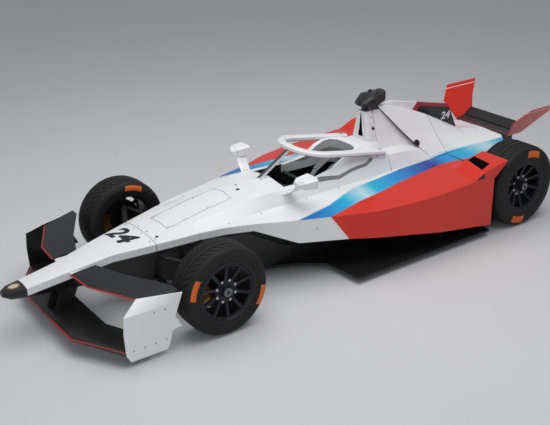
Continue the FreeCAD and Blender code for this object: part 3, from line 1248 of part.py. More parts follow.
front_hub = [("0", "stub_reach + 4"), ("stub_radius + hub_gap", "stub_reach + 4"), ("stub_radius + hub_gap", "-16"),
             ("60", "-16")]
rear_hub = [("0", "-(car_half_width - rear_tyre_width / 2 - drive_half - seam_gap)"),
            ("shaft_radius", "-(car_half_width - rear_tyre_width / 2 - drive_half - seam_gap)"),
            ("shaft_radius", "-140"), ("40", "-140"), ("40", "-20"), ("60", "-20")]
front_size = ("front_axle_x", "front_tyre_radius", "front_tyre_width")
rear_size = (rear_axle_x, "rear_tyre_radius", "rear_tyre_width")
front_tyre = keep("front_tyre_left", tyre("front_tyre_body", *front_size))
keep("front_tyre_right", mirror("front_tyre_copy", front_tyre))
rear_tyre = keep("rear_tyre_left", tyre("rear_tyre_body", *rear_size))
keep("rear_tyre_right", mirror("rear_tyre_copy", rear_tyre))
rear_rim = keep("rear_rim_left", rim("rear_rim_body", *rear_size, rear_hub))
keep("rear_rim_right", mirror("rear_rim_copy", rear_rim))

disc = new_body("disc")
move(disc, "front_axle_x", "car_half_width - front_tyre_width / 2", "front_tyre_radius")
revolve(disc, "disc_turn", outline(disc, "disc_profile", "XY_Plane", "0", [
    ("60 + seam_gap", "-14"), ("disc_radius", "-14"), ("disc_radius", "disc_thickness - 14"),
    ("60 + seam_gap", "disc_thickness - 14")]))
front_rim = keep("front_rim_left", group_of("front_rim_and_disc", [rim("front_rim_body", *front_size, front_hub), disc]))
keep("front_rim_right", mirror("front_rim_copy", front_rim))

doc.recompute()

# Every object has to be sound before anything is written.
faults = []
for thing in doc.Objects:
    if "Invalid" in thing.State or "Error" in thing.State:
        faults.append("%s: %s" % (thing.Label, thing.State))
for name, thing in nodes.items():
    if thing.Shape.isNull() or not thing.Shape.isValid():
        faults.append("%s: shape" % name)
if faults:
    raise SystemExit("\n".join(faults))

os.makedirs("parts", exist_ok=True)
for name, thing in nodes.items():
    thing.Shape.exportStep("parts/%s.step" % name)
    box = thing.Shape.BoundBox
    print("%-24s %2d solids  volume %9.0f cm3  x %6.0f %6.0f  y %6.0f %6.0f  z %6.0f %6.0f" % (
        name, len(thing.Shape.Solids), thing.Shape.Volume / 1000, box.XMin, box.XMax, box.YMin, box.YMax,
        box.ZMin, box.ZMax))
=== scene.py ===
"""The looks of an electric open wheel racing car, built round its solids. Lengths are in metres."""
import json
import math

import bmesh
import bpy
from bpy.props import FloatProperty, FloatVectorProperty, IntProperty, PointerProperty
from mathutils import Matrix, Vector
from mathutils.bvhtree import BVHTree


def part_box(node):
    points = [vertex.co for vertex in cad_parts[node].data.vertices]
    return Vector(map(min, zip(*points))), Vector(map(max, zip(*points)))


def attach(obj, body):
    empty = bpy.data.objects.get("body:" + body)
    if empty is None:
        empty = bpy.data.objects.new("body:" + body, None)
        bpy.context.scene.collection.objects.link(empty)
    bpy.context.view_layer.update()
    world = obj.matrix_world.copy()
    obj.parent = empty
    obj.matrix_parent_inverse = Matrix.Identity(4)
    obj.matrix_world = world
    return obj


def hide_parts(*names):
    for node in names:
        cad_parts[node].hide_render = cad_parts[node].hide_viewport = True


bl_info = {
    "name": "Open Wheel Racing Car",
    "version": (1, 0, 0),
    "blender": (4, 5, 0),
    "location": "3D View > Sidebar > Racing Car",
    "description": "Dresses the solids of a single seat open wheel racing car and lights it",
    "category": "Object",
}

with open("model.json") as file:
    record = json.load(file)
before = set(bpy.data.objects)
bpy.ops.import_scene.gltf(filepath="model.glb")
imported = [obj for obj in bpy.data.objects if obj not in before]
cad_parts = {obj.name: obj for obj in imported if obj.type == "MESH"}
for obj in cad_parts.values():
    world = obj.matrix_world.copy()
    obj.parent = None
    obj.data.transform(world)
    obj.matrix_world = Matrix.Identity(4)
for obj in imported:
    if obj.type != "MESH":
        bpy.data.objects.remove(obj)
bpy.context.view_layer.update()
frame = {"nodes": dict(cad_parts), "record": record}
NODES = frame["nodes"]
BODIES = frame["record"]["behaviour"]["bodies"]
BODY_OF = {node: body for body, members in BODIES.items() for node in members}
SIGNS = (1.0, -1.0)
SIDES = (("left", 1.0), ("right", -1.0))
FULL_TURN = 2 * math.pi

# Distances within which doubled points are merged: of a solid's mesh, of a new piece, of fine work.
CAD_MERGE, MERGE, FINE_MERGE = 0.00002, 0.00001, 0.000001
# Rays towards the car start this far above the ground or from its middle.
ABOVE, BESIDE = 3.0, 1.2

# Edges of the painted band, as places along the car and distances from its middle.
BAND_INNER = ((0.442, 0.540), (0.098, 0.487), (-0.199, 0.385), (-0.524, 0.354), (-0.785, 0.318),
              (-1.053, 0.309), (-1.251, 0.294), (-1.402, 0.289), (-1.652, 0.288), (-1.781, 0.302),
              (-1.958, 0.315), (-2.045, 0.318))
BAND_OUTER = ((0.442, 0.740), (0.192, 0.622), (-0.131, 0.566), (-0.357, 0.541), (-0.607, 0.498),
              (-0.893, 0.462), (-1.120, 0.434), (-1.243, 0.443), (-1.350, 0.470), (-1.420, 0.490),
              (-2.045, 0.500))
# Heights of the edge where the black lower body starts, along the car.
SKIRT = ((2.356, 0.336), (2.077, 0.374), (1.752, 0.432), (1.452, 0.457), (1.252, 0.474),
         (1.152, 0.484), (0.952, 0.493), (0.752, 0.487), (0.432, 0.340))
# Heights of the joint between the head surround and the cell, along the car.
LIP = ((0.050, 0.640), (-0.060, 0.634), (-0.170, 0.622), (-0.280, 0.645), (-0.354, 0.655),
       (-0.450, 0.660), (-0.521, 0.690))
# Heights of the fin's top, along the car.
FIN_TOP = ((-0.94, 1.046), (-1.518, 0.916), (-1.608, 0.896))
# Leading edges of the front wing, as distances from the middle and places along the car.
LOWER_WING_EDGE = ((0.0, 2.236), (0.43, 2.236), (0.791, 2.0), (0.85, 1.96))
UPPER_WING_EDGE = ((0.0, 2.09), (0.15, 2.077), (0.379, 2.059), (0.725, 1.890), (0.812, 1.644))
# Boxes whose faces are black, as limits along the car, to the side and up. In the hoop's slot and
# the louvres the black is painted shade.
WELL = ((-0.487, 0.3235), (-1.0, 0.2065), (0.10, 0.69))
HOOP_SLOT = ((-0.66, -0.614), (-1.0, 0.0285), (0.79, 1.012))
LOUVRE = ((-1.365, -1.215), (0.565, 0.80), (0.50, 0.70))
LOUVRE_FLOOR = 0.550
# Places along the car behind which the cover's step and the rear faces are black; on the step the
# black is painted shade.
COVER_STEP, STERN = -0.69, -1.25
# Foot and head of the halo's pillar, as places along the car and heights.
PILLAR_FOOT, PILLAR_HEAD = (0.432, 0.690), (0.158, 0.860)

ROYAL = (0.012, 0.115, 0.46)
CYAN = (0.01, 0.40, 0.62)
PALE = (0.46, 0.66, 0.72)
SKY = (0.01, 0.22, 0.56)
INDIGO = (0.012, 0.035, 0.27)
BORDER = (0.60, 0.72, 0.76)
CRIMSON = (0.42, 0.014, 0.045)
DEEP_CRIMSON = (0.36, 0.012, 0.04)
JET = (0.012, 0.012, 0.013)
GRIT = (0.10, 0.09, 0.08)
CHIPS = (0.12, 0.11, 0.10)
SETTLED_DUST = (0.10, 0.095, 0.09)
GREY = (0.30, 0.30, 0.31)
# Colours of the blue band from its front end to its rear end.
BAND_COLOURS = ((0.44, ROYAL), (0.167, SKY), (-0.05, CYAN), (-0.24, PALE), (-0.37, CYAN),
                (-0.67, SKY), (-1.06, INDIGO), (-1.20, SKY), (-1.48, CYAN), (-1.72, PALE),
                (-1.93, CYAN))

# Sections of small turned pieces, as distances from the axis and heights above the surface. The
# nose lens and the cowl's sensors are given for a radius of 1.
NOSE_LENS = ((0.0, 0.0050), (0.5, 0.0046), (0.78, 0.0034), (0.93, 0.0016), (1.0, -0.0006))
SENSOR = ((0.0, 0.0034), (0.55, 0.0032), (0.85, 0.0020), (1.0, -0.0006))
CAMERA_LENS = ((0.0, 0.004), (0.008, 0.0034), (0.012, 0.0015), (0.013, 0.004), (0.017, 0.004),
               (0.018, -0.001))
HOOP_MARK = ((0.0, 0.003), (0.011, 0.0028), (0.0135, 0.0015), (0.0145, -0.0006))
CHARGING_CAP = ((0.0, 0.0006), (0.019, 0.0006), (0.020, 0.0050), (0.0235, 0.0062), (0.027, 0.0050),
                (0.0285, -0.001))
LIGHT_LENS = ((0.0, 0.0045), (0.0040, 0.0040), (0.0062, 0.0020), (0.0068, -0.0006))
BUTTON = ((0.0, 0.0075), (0.0045, 0.0072), (0.0058, 0.006), (0.0060, 0.003), (0.0085, 0.003),
          (0.0092, 0.002), (0.0092, -0.001))
BELT_LOCK = ((0.0, 0.014), (0.020, 0.014), (0.024, 0.011), (0.034, 0.009), (0.037, 0.004),
             (0.037, -0.006), (0.0, -0.006))
WHEEL_BOLT = ((0.0, 0.009), (0.0045, 0.009), (0.0062, 0.0075), (0.0066, 0.003), (0.0098, 0.003),
              (0.0105, 0.0015), (0.0105, -0.002))
WHEEL_NUT = ((0.0, -0.002), (0.012, -0.002), (0.012, 0.004), (0.017, 0.0048), (0.0185, 0.0048),
             (0.0235, 0.0040), (0.0320, 0.0030), (0.0335, 0.0015), (0.0335, -0.004))
NUT_RING = ((0.0335, -0.001), (0.0335, -0.006), (0.0375, -0.007), (0.0375, -0.012),
            (0.0300, -0.012), (0.0300, -0.001), (0.0335, -0.001))
VALVE = ((0.0, 0.016), (0.0030, 0.016), (0.0034, 0.013), (0.0034, 0.004), (0.0045, 0.003),
         (0.0045, -0.001))


class Field:
    """A value that varies over a surface. Python's signs add the Math nodes."""

    def __init__(self, finish, socket):
        self.finish = finish
        self.socket = socket

    def maths(self, operation, *terms):
        return self.finish.field("ShaderNodeMath", {"operation": operation}, dict(enumerate(terms)))

    def __add__(self, other):
        return self.maths("ADD", self, other)

    def __sub__(self, other):
        return self.maths("SUBTRACT", self, other)

    def __mul__(self, other):
        return self.maths("MULTIPLY", self, other)

    def __rsub__(self, other):
        return self.maths("SUBTRACT", other, self)

    def __lt__(self, other):
        return self.maths("LESS_THAN", self, other)

    def __gt__(self, other):
        return self.maths("GREATER_THAN", self, other)

    def __abs__(self):
        return self.maths("ABSOLUTE", self)

    def __or__(self, other):
        return self.maths("MAXIMUM", self, other)

    def __and__(self, other):
        return self.maths("MINIMUM", self, other)

    __radd__ = __add__
    __rmul__ = __mul__

    def clamp(self, low=0.0, high=1.0):
        return self.maths("MINIMUM", self.maths("MAXIMUM", self, low), high)

    def root(self):
        return self.maths("SQRT", self)

    def wave(self, pitch):
        """A sine wave along the value, from -1 to 1."""
        return self.maths("SINE", self * (FULL_TURN / pitch))

    def step(self, edge, width):
        """0 below the edge and 1 above it, with a soft border of the given width."""
        return ((self - (edge - width / 2)) * (1 / width)).clamp()


class Finish:
    """One material: a Principled shader with fields for what varies."""

    # Places of the colour sockets on a Mix node.
    mix_first, mix_second, mix_result = 6, 7, 2

    def __init__(self, name, **sockets):
        sockets.setdefault("specular_ior_level", 0.32)
        self.material = bpy.data.materials.new(name)
        self.material.use_nodes = True
        self.tree = self.material.node_tree
        self.shader = self.tree.nodes["Principled BSDF"]
        self.coordinates = self.node("ShaderNodeTexCoord")
        self.place = self.coordinates.outputs["Object"]
        self.set(**sockets)

    def node(self, kind, settings=None, inputs=None):
        made = self.tree.nodes.new(kind)
        for name, value in (settings or {}).items():
            setattr(made, name, value)
        for key, value in (inputs or {}).items():
            self.feed(made.inputs[key], value)
        return made

    def feed(self, socket, value):
        """Links a field or a socket to a socket, or sets a constant on it."""
        if isinstance(value, Field):
            value = value.socket
        if isinstance(value, bpy.types.NodeSocket):
            self.tree.links.new(value, socket)
        else:
            socket.default_value = value

    def field(self, kind, settings=None, inputs=None):
        return Field(self, self.node(kind, settings, inputs).outputs[0])

    def split(self, vector):
        """The three parts of a vector: along the car, to its left, and up."""
        made = self.node("ShaderNodeSeparateXYZ", None, {0: vector})
        return [Field(self, part) for part in made.outputs]

    def axes(self):
        """Place along the car, to its left, and up."""
        return self.split(self.place)

    def facing(self):
        """How far the surface faces forward, left and up."""
        return self.split(self.coordinates.outputs["Normal"])

    def noise(self, scale, detail=3.0, stretch=(1, 1, 1)):
        spot = self.node("ShaderNodeMapping", None, {"Vector": self.place, "Scale": stretch})
        return self.field("ShaderNodeTexNoise", None,
                          {"Vector": spot.outputs[0], "Scale": scale, "Detail": detail})

    def dust(self, scale=3.0):
        """Faint uneven dust over large areas."""
        return self.noise(scale, 4.0)

    def mix(self, share, first, second):
        """Mixes two colours."""
        made = self.node("ShaderNodeMix", {"data_type": "RGBA"}, {0: share})
        for place, colour in ((self.mix_first, first), (self.mix_second, second)):
            self.feed(made.inputs[place], colour + (1.0,) if isinstance(colour, tuple) else colour)
        return made.outputs[self.mix_result]

    def ramp(self, amount, stops):
        """Colours along a value, given as (place, colour) from low to high."""
        made = self.node("ShaderNodeValToRGB", None, {0: amount})
        marks = made.color_ramp.elements
        while len(marks) < len(stops):
            marks.new(1.0)
        for mark, (place, colour) in zip(marks, stops):
            mark.position = place
            mark.color = colour + (1.0,)
        return made.outputs[0]

    def line(self, along, points):
        """A line in straight runs through (place, value) points that go towards the rear."""
        total = points[0][1]
        for (start, first), (end, last) in zip(points, points[1:]):
            slope = (last - first) / (start - end)
            total = (along.clamp(end, start) * -1.0 + start) * slope + total
        return total

    def bump(self, height, distance, strength=1.0, under=None):
        made = self.node("ShaderNodeBump", None,
                         {"Height": height, "Distance": distance, "Strength": strength})
        if under is not None:
            self.feed(made.inputs["Normal"], under)
        return made.outputs[0]

    def set(self, **values):
        """Feeds the shader's sockets, named as in base_color."""
        for label, value in values.items():
            label = label.replace("_", " ").title().replace("Ior", "IOR")
            self.feed(self.shader.inputs[label], value)


# Finishes


def dim(colour, share):
    """The colour at a share of its brightness."""
    return tuple(share * value for value in colour)


def car_paint(name):
    """A finish with a thin clear coat."""
    return Finish(name, coat_weight=0.22, coat_roughness=0.10)


def inside(value, low, high):
    """1 where the value lies between two limits."""
    return (value > low) & (value < high)


def inside_box(x, side, z, box):
    """1 inside a box given by its limits along the car, to the side and up."""
    return inside(x, *box[0]) & inside(side, *box[1]) & inside(z, *box[2])


def weave(finish):
    """The colour and the threads of a two by two twill of black threads."""
    bright, dark, pitch = 0.020, 0.006, 0.004
    x, y, z = finish.axes()
    thread = ((x + y).wave(pitch) * (x - y + z).wave(pitch) * 0.5 + 0.5).clamp()
    return finish.mix(thread, (dark, dark, dark * 1.05), (bright, bright, bright * 1.05)), thread


def laminate(name):
    """A finish of black laminate, with its colour and its bump."""
    finish = Finish(name, coat_weight=0.15, coat_roughness=0.16)
    colour, thread = weave(finish)
    return finish, colour, finish.bump(thread, distance=0.0002, strength=0.25)


def skirt_mask(finish):
    """1 on the black lower body: under the skirt's line, between the pods, on what faces down."""
    x, y, z = finish.axes()
    up = finish.facing()[2]
    end, height = SKIRT[-1]
    cell_half, highest = 0.36, 0.56
    low = (z < finish.line(x, SKIRT)) & (x > end)
    between = (z < height) & (x < end + 0.001) & (abs(y) < cell_half)
    return (low | between | (up < -0.12)) & (z < highest)


def black_and_painted_shade_mask(finish):
    """1 where the body is black: in the well and on rear faces, and as painted shade in the hoop's
    slot, the louvres and under the cover's step.
    """
    x, y, z = finish.axes()
    side = abs(y)
    ahead, _, up = finish.facing()
    well = inside_box(x, side, z, WELL)
    # The black in the hoop's slot, in the louvres and on the cover's step is painted shade.
    slot = inside_box(x, side, z, HOOP_SLOT)
    louvre = inside_box(x, side, z, LOUVRE) & ((up < 0.35) | (z < LOUVRE_FLOOR))
    step = (x < COVER_STEP) & (ahead > 0.4) & (up < -0.2) & (z > 0.56)
    stern = (x < STERN) & (ahead < -0.6) & (side > 0.10)
    return well | slot | louvre | step | stern


def body_colour(finish):
    """White with a blue band along the deck and red outside it."""
    soft, border = 0.002, 0.012
    panel_lean, panel_end = 0.69, 0.192
    x, y, z = finish.axes()
    side = abs(y)
    tone = finish.noise(2.2, detail=2.0)
    front, rear = BAND_COLOURS[0][0], BAND_COLOURS[-1][0]
    length = front - rear
    stops = [((front - place) / length, colour) for place, colour in BAND_COLOURS]
    blue = finish.ramp((front - x) * (1 / length) + (tone - 0.5) * 0.05, stops)
    white = finish.mix(tone, CAR.white, dim(CAR.white, 0.97))
    red = finish.mix(tone, CAR.red, dim(CAR.red, 0.9))
    past_inner = side - finish.line(x, BAND_INNER)
    past_outer = side - finish.line(x, BAND_OUTER)
    deck = finish.mix((past_inner + border).step(0.0, soft), white, BORDER)
    deck = finish.mix(past_inner.step(0.0, soft), deck, blue)
    deck = finish.mix(past_outer.step(0.0, soft), deck, red)
    slant = (0.510 - z) * panel_lean + x
    panel = finish.mix((panel_end - slant).step(0.0, soft), white, red)
    up = finish.facing()[2]
    on_side = (1.0 - up.step(0.35, 0.1)) & (side > 0.45) & (z < 0.66)
    return finish.mix(on_side, deck, panel)


def paint_body():
    """The livery over the upper body, black laminate below the skirt, in the well and on rear
    faces, and black as painted shade in the hoop's slot, the louvres and under the cover's step.
    """
    finish = car_paint("body paint")
    black = weave(finish)[0]
    x = finish.axes()[0]
    grit = finish.noise(420.0, detail=2.0).step(0.72, 0.03) & x.step(1.9, 0.6)
    # Black below the skirt, in the well and on rear faces; in the slot, the louvres and on the step
    # the black is painted shade.
    colour = finish.mix(skirt_mask(finish) | black_and_painted_shade_mask(finish), body_colour(finish), black)
    finish.set(base_color=finish.mix(grit * 0.5, colour, GRIT),
               roughness=finish.dust() * 0.12 + 0.26,
               normal=finish.bump(finish.noise(90.0, detail=2.0), distance=0.0004, strength=0.12))
    return finish.material


def paint_surround():
    """White shell, grey trim along its lower edge, and foam inside that is painted grey as shade,
    with a darker band round it.
    """
    finish = Finish("head surround")
    painted_shade_grey, trim_grey = (0.46, 0.46, 0.465), (0.20, 0.205, 0.21)
    x, y, z = finish.axes()
    ahead, left, up = finish.facing()
    faces_in = (left * y) < -0.02
    behind_head = (ahead > 0.45) & (x < -0.40) & (abs(y) < 0.16)
    shaded_foam = (faces_in | behind_head) & (up < 0.6)
    above_lip = z - finish.line(x, LIP)
    trim = (above_lip < 0.024) & (abs(y) > 0.22)
    band = shaded_foam & inside(above_lip, 0.022, 0.052)
    # The inward faces and the wall behind the head are white; the grey laid on them is painted
    # shade.
    colour = finish.mix(shaded_foam, CAR.white, painted_shade_grey)
    cells = finish.noise(700.0, detail=2.0) * shaded_foam
    finish.set(base_color=finish.mix(trim | band, colour, trim_grey),
               roughness=finish.dust() * 0.14 + 0.3 + shaded_foam * 0.4,
               normal=finish.bump(cells, distance=0.0008, strength=0.6))
    return finish.material


def paint_halo():
    """White, with a black edge down the front of the pillar and grey painted shade under the arms.
    """
    finish = car_paint("halo paint")
    edge_depth, edge_half = 0.026, 0.020
    x, y, z = finish.axes()
    slope = (PILLAR_FOOT[0] - PILLAR_HEAD[0]) / (PILLAR_HEAD[1] - PILLAR_FOOT[1])
    front = (z - PILLAR_FOOT[1]) * -slope + PILLAR_FOOT[0]
    edge = (x > front - edge_depth) & (abs(y) < edge_half) & (z < PILLAR_HEAD[1])
    # Grey on the faces that look down under the arms is painted shade.
    under = (finish.facing()[2] < -0.5) & (x < 0.1)
    colour = finish.mix(under, CAR.white, GREY)
    finish.set(base_color=finish.mix(edge, colour, JET), roughness=finish.dust() * 0.14 + 0.24)
    return finish.material


def paint_mirror(side):
    """White shell; the stalk's leading edge is black."""
    finish = car_paint("mirror paint " + side)
    stalk_end = 0.385
    y = finish.axes()[1]
    edge = (finish.facing()[0] > 0.35) & (abs(y) < stalk_end)
    finish.set(base_color=finish.mix(edge, CAR.white, JET), roughness=finish.dust() * 0.14 + 0.24)
    return finish.material


def paint_end_plate():
    """White outside with fine stone chips along the front and the foot, black inside."""
    finish = car_paint("front end plate paint")
    x, y, z = finish.axes()
    exposed = (0.12 - z).step(0.0, 0.1) | x.step(1.96, 0.08)
    chips = finish.noise(380.0, detail=2.0).step(0.70, 0.03) & exposed
    inward = (finish.facing()[1] * y) < -0.08
    colour = finish.mix(inward, CAR.white, JET)
    finish.set(base_color=finish.mix(chips * 0.6, colour, CHIPS),
               roughness=finish.dust() * 0.14 + 0.24)
    return finish.material


def paint_rear_plate():
    """Red with a thin pale line near the head."""
    finish = car_paint("end plate paint")
    z = finish.axes()[2]
    dust = finish.dust()
    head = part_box("rear_endplate_left")[1].z
    red = finish.mix(dust, CAR.red, dim(CAR.red, 0.88))
    finish.set(base_color=finish.mix(inside(z, head - 0.030, head - 0.024), red, (0.7, 0.6, 0.6)),
               roughness=dust * 0.14 + 0.24)
    return finish.material


def paint_fin():
    """White front, a crimson stripe along the top and a black field below it."""
    finish = Finish("fin paint", coat_weight=0.6, coat_roughness=0.08)
    stripe_width, white_end, black_start = 0.030, -1.13, -1.20
    x, _, z = finish.axes()
    slant = (z - 0.875) * 0.9 + x
    foot = finish.line(x, FIN_TOP) - stripe_width
    behind = slant < white_end
    colour = finish.mix(behind, CAR.white, CRIMSON)
    colour = finish.mix((z < foot) & (slant < black_start), colour, JET)
    finish.set(base_color=finish.mix((z > foot) & behind, colour, DEEP_CRIMSON),
               roughness=finish.dust() * 0.14 + 0.28)
    return finish.material


def paint_carbon(name="carbon laminate", rough=0.30):
    """Black laminate with a little settled dust."""
    finish, colour, threads = laminate(name)
    dust = finish.dust(5.0)
    finish.set(base_color=finish.mix(dust.step(0.6, 0.5) * 0.10, colour, SETTLED_DUST),
               roughness=dust * 0.2 + rough, normal=threads)
    return finish.material


def paint_wing(name, edge, back=0.002, width=0.009):
    """Black laminate with a crimson line on top behind the leading edge.

    edge holds (distance from middle, place), and back is how far behind it the line starts.
    """
    finish, colour, threads = laminate(name)
    x, y, _ = finish.axes()
    lead = finish.line(abs(y) * -1.0, [(-across, place) for across, place in edge])
    near = inside(lead - x, back, back + width) & (finish.facing()[2] > 0.2)
    finish.set(base_color=finish.mix(near, colour, CRIMSON),
               roughness=finish.dust(5.0) * 0.2 + 0.3, normal=threads)
    return finish.material


def paint_glass(name, colour=(0.02, 0.022, 0.025), rough=0.04, metallic=0.0):
    """Polished glass over a dark or silvered ground, with faint smears."""
    finish = Finish(name, metallic=metallic, coat_weight=1.0, coat_roughness=0.03)
    smear = finish.noise(12.0, detail=4.0, stretch=(1, 1, 4))
    finish.set(base_color=finish.mix(smear, colour, dim(colour, 0.9)),
               roughness=smear * 0.06 + rough)
    return finish.material


def paint_display():
    """Dark screen with rows of lit bars."""
    finish = Finish("display", coat_weight=1.0, coat_roughness=0.04, roughness=0.12)
    row_pitch, bar_pitch, lit_half = 0.016, 0.011, 0.040
    _, y, z = finish.axes()
    lit = z.wave(row_pitch).step(0.2, 0.1) & y.wave(bar_pitch).step(-0.3, 0.1) & (abs(y) < lit_half)
    finish.set(base_color=finish.mix(lit, (0.008, 0.009, 0.011), (0.05, 0.32, 0.38)))
    return finish.material


def paint_tyre(name, centre, radius, blocks):
    """Rubber with orange blocks on the sidewalls; blocks are angles in degrees."""
    finish = Finish(name, specular_ior_level=0.25)
    block_foot, block_share, block_half = 0.262, 0.62, 0.072
    x, _, z = finish.axes()
    across = x - centre.x
    up = z - centre.z
    reach = (across * across + up * up).root()
    grain = finish.noise(160.0, detail=4.0)
    scuff = finish.noise(14.0, detail=4.0, stretch=(1, 3, 1))
    rubber = finish.mix(scuff, (0.008, 0.008, 0.009), (0.020, 0.0195, 0.019))
    mask = inside(reach, block_foot, block_foot + (radius - block_foot) * block_share)
    block = None
    for angle in map(math.radians, blocks):
        ahead = across * math.cos(angle) + up * math.sin(angle)
        beside = across * -math.sin(angle) + up * math.cos(angle)
        one = (ahead > 0.0) & (abs(beside) < block_half)
        block = one if block is None else block | one
    orange = finish.mix(scuff, CAR.orange, dim(CAR.orange, 0.85))
    rings = finish.bump(reach.wave(0.006) * 0.5 + 0.5, distance=0.0003, strength=0.15)
    finish.set(base_color=finish.mix(mask & block, rubber, orange), roughness=scuff * 0.15 + 0.58,
               normal=finish.bump(grain, distance=0.0005, strength=0.4, under=rings))
    return finish.material


def paint_lens(centre, length, width):
    """Cream in the middle of an oval and brown round it."""
    finish = Finish("nose lens", coat_weight=0.8, coat_roughness=0.05)
    x, y, _ = finish.axes()
    along = (x - centre.x) * (2 / length)
    across = y * (2 / width)
    reach = (along * along + across * across).root()
    tone = finish.noise(60.0, detail=3.0)
    cream = finish.mix(tone, (0.66, 0.56, 0.40), (0.50, 0.38, 0.24))
    finish.set(base_color=finish.mix(reach.step(0.74, 0.10), cream, (0.16, 0.07, 0.025)),
               roughness=tone * 0.1 + 0.16)
    return finish.material


def paint_metal(name, colour, rough=0.3, metallic=1.0):
    """Bare or anodised metal with fine tool marks."""
    finish = Finish(name, metallic=metallic)
    marks = finish.noise(220.0)
    wear = finish.noise(9.0, detail=4.0)
    finish.set(base_color=finish.mix(wear, colour, dim(colour, 0.72)),
               roughness=marks * 0.18 + rough,
               normal=finish.bump(marks, distance=0.0003, strength=0.2))
    return finish.material


def paint_plastic(name, colour, rough=0.45):
    """Moulded plastic with a fine grain."""
    finish = Finish(name)
    tone = finish.noise(6.0)
    light = tuple(min(1.0, 1.25 * value + 0.004) for value in colour)
    finish.set(base_color=finish.mix(tone, colour, light), roughness=tone * 0.16 + rough,
               normal=finish.bump(finish.noise(420.0, detail=2.0), distance=0.0003, strength=0.3))
    return finish.material


def paint_cloth(name, colour, pitch=0.0025):
    """Woven webbing or trim cloth."""
    finish = Finish(name, roughness=0.85, sheen_weight=0.25)
    x, y, z = finish.axes()
    threads = x.wave(pitch) * (y + z).wave(pitch) * 0.5 + 0.5
    share = (threads * 0.6 + finish.noise(8.0) * 0.4).clamp()
    finish.set(base_color=finish.mix(share, colour, dim(colour, 0.6)),
               normal=finish.bump(threads, distance=0.0005, strength=0.4))
    return finish.material


def paint_lamp(name, colour, glow):
    """A lit lens with square cells."""
    finish = Finish(name, roughness=0.15, coat_weight=1.0, emission_color=colour + (1.0,),
                    emission_strength=glow)
    _, y, z = finish.axes()
    cells = (z.wave(0.018) * y.wave(0.018)).clamp()
    finish.set(base_color=finish.mix(cells, colour, dim(colour, 0.45)))
    return finish.material


# Shapes


def new_mesh(name, form):
    """Makes an object of a form."""
    mesh = bpy.data.meshes.new(name)
    form.to_mesh(mesh)
    form.free()
    piece = bpy.data.objects.new(name, mesh)
    bpy.context.scene.collection.objects.link(piece)
    return piece


def finish_form(form, name, merge=MERGE):
    """Merges doubled points, turns the faces outwards and makes the object."""
    bmesh.ops.remove_doubles(form, verts=form.verts, dist=merge)
    bmesh.ops.recalc_face_normals(form, faces=form.faces)
    return new_mesh(name, form)


def shade(piece, angle):
    """Smooth faces with creases where they meet at more than the angle."""
    for face in piece.data.polygons:
        face.use_smooth = True
    form = bmesh.new()
    form.from_mesh(piece.data)
    for edge in form.edges:
        edge.smooth = len(edge.link_faces) == 2 and edge.calc_face_angle(0.0) < math.radians(angle)
    form.to_mesh(piece.data)
    form.free()


def settle(piece, body, material, angle=32.0):
    """Gives a finished piece its material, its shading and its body."""
    piece.data.materials.clear()
    piece.data.materials.append(material)
    shade(piece, angle)
    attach(piece, body)
    return piece


def soften(piece, width, segments=2, angle=24.0):
    """Rounds the sharp edges a little, as on a moulded panel."""
    bevel = piece.modifiers.new("edge", "BEVEL")
    bevel.affect = "EDGES"
    bevel.profile = 0.5
    bevel.material = -1
    bevel.width = width
    bevel.segments = segments
    bevel.limit_method = "ANGLE"
    bevel.angle_limit = math.radians(angle)
    bevel.harden_normals = True
    bevel.use_clamp_overlap = True


def thicken(piece, thickness, offset, even=False):
    """Gives a thin sheet its thickness."""
    shell = piece.modifiers.new("thickness", "SOLIDIFY")
    shell.thickness = thickness
    shell.offset = offset
    shell.use_even_offset = even


def cad_form(node):
    """A solid's surface with merged points."""
    form = bmesh.new()
    form.from_mesh(NODES[node].data)
    bmesh.ops.remove_doubles(form, verts=form.verts, dist=CAD_MERGE)
    return form


def join_flat(form, angle):
    """Joins faces that meet at less than the angle."""
    bmesh.ops.dissolve_limit(form, angle_limit=math.radians(angle), verts=form.verts,
                             edges=form.edges)


def skin_of(node, material, width=0.003, angle=24.0, segments=2):
    """A copy of a solid's surface with rounded edges, in place of the solid."""
    form = cad_form(node)
    join_flat(form, angle=1.2)
    piece = settle(new_mesh(node + "_skin", form), BODY_OF[node], material, angle)
    if width:
        soften(piece, width, segments, angle)
    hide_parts(node)


def between(low, high, axis):
    """Flat cuts that keep what lies between two places on an axis."""
    cuts = []
    for place, way in ((high, 1.0), (low, -1.0)):
        spot, out = Vector(), Vector()
        spot[axis], out[axis] = place, way
        cuts.append((spot, out))
    return cuts


def patch(node, name, material, cuts, thickness, keep_if):
    """The part of a solid's surface inside flat cuts, laid over it.

    Each cut is a point and the way out. keep_if is asked about each face's middle and normal.
    """
    form = cad_form(node)
    for spot, out in cuts:
        bmesh.ops.bisect_plane(form, geom=form.verts[:] + form.edges[:] + form.faces[:],
                               dist=FINE_MERGE, plane_co=spot, plane_no=out, clear_outer=True)
    gone = [face for face in form.faces if not keep_if(face.calc_center_median(), face.normal)]
    bmesh.ops.delete(form, geom=gone, context="FACES")
    join_flat(form, angle=1.0)
    piece = settle(new_mesh(name, form), BODY_OF[node], material)
    thicken(piece, thickness, offset=0.6, even=True)


def round_edges(form, edges, offset, segments=2):
    """Bevels edges of a form."""
    return bmesh.ops.bevel(form, geom=edges, offset=offset, offset_type="OFFSET", segments=segments,
                           profile=0.5, affect="EDGES", material=-1)


def box_form(form, low, high, rounding=0.0):
    """Adds a box between two corners to a form."""
    made = bmesh.ops.create_cube(form, size=1.0)["verts"]
    bmesh.ops.scale(form, vec=Vector(high) - Vector(low), verts=made)
    bmesh.ops.translate(form, vec=(Vector(high) + Vector(low)) / 2, verts=made)
    if rounding:
        edges = [edge for edge in form.edges if all(vert in made for vert in edge.verts)]
        round_edges(form, edges, rounding)


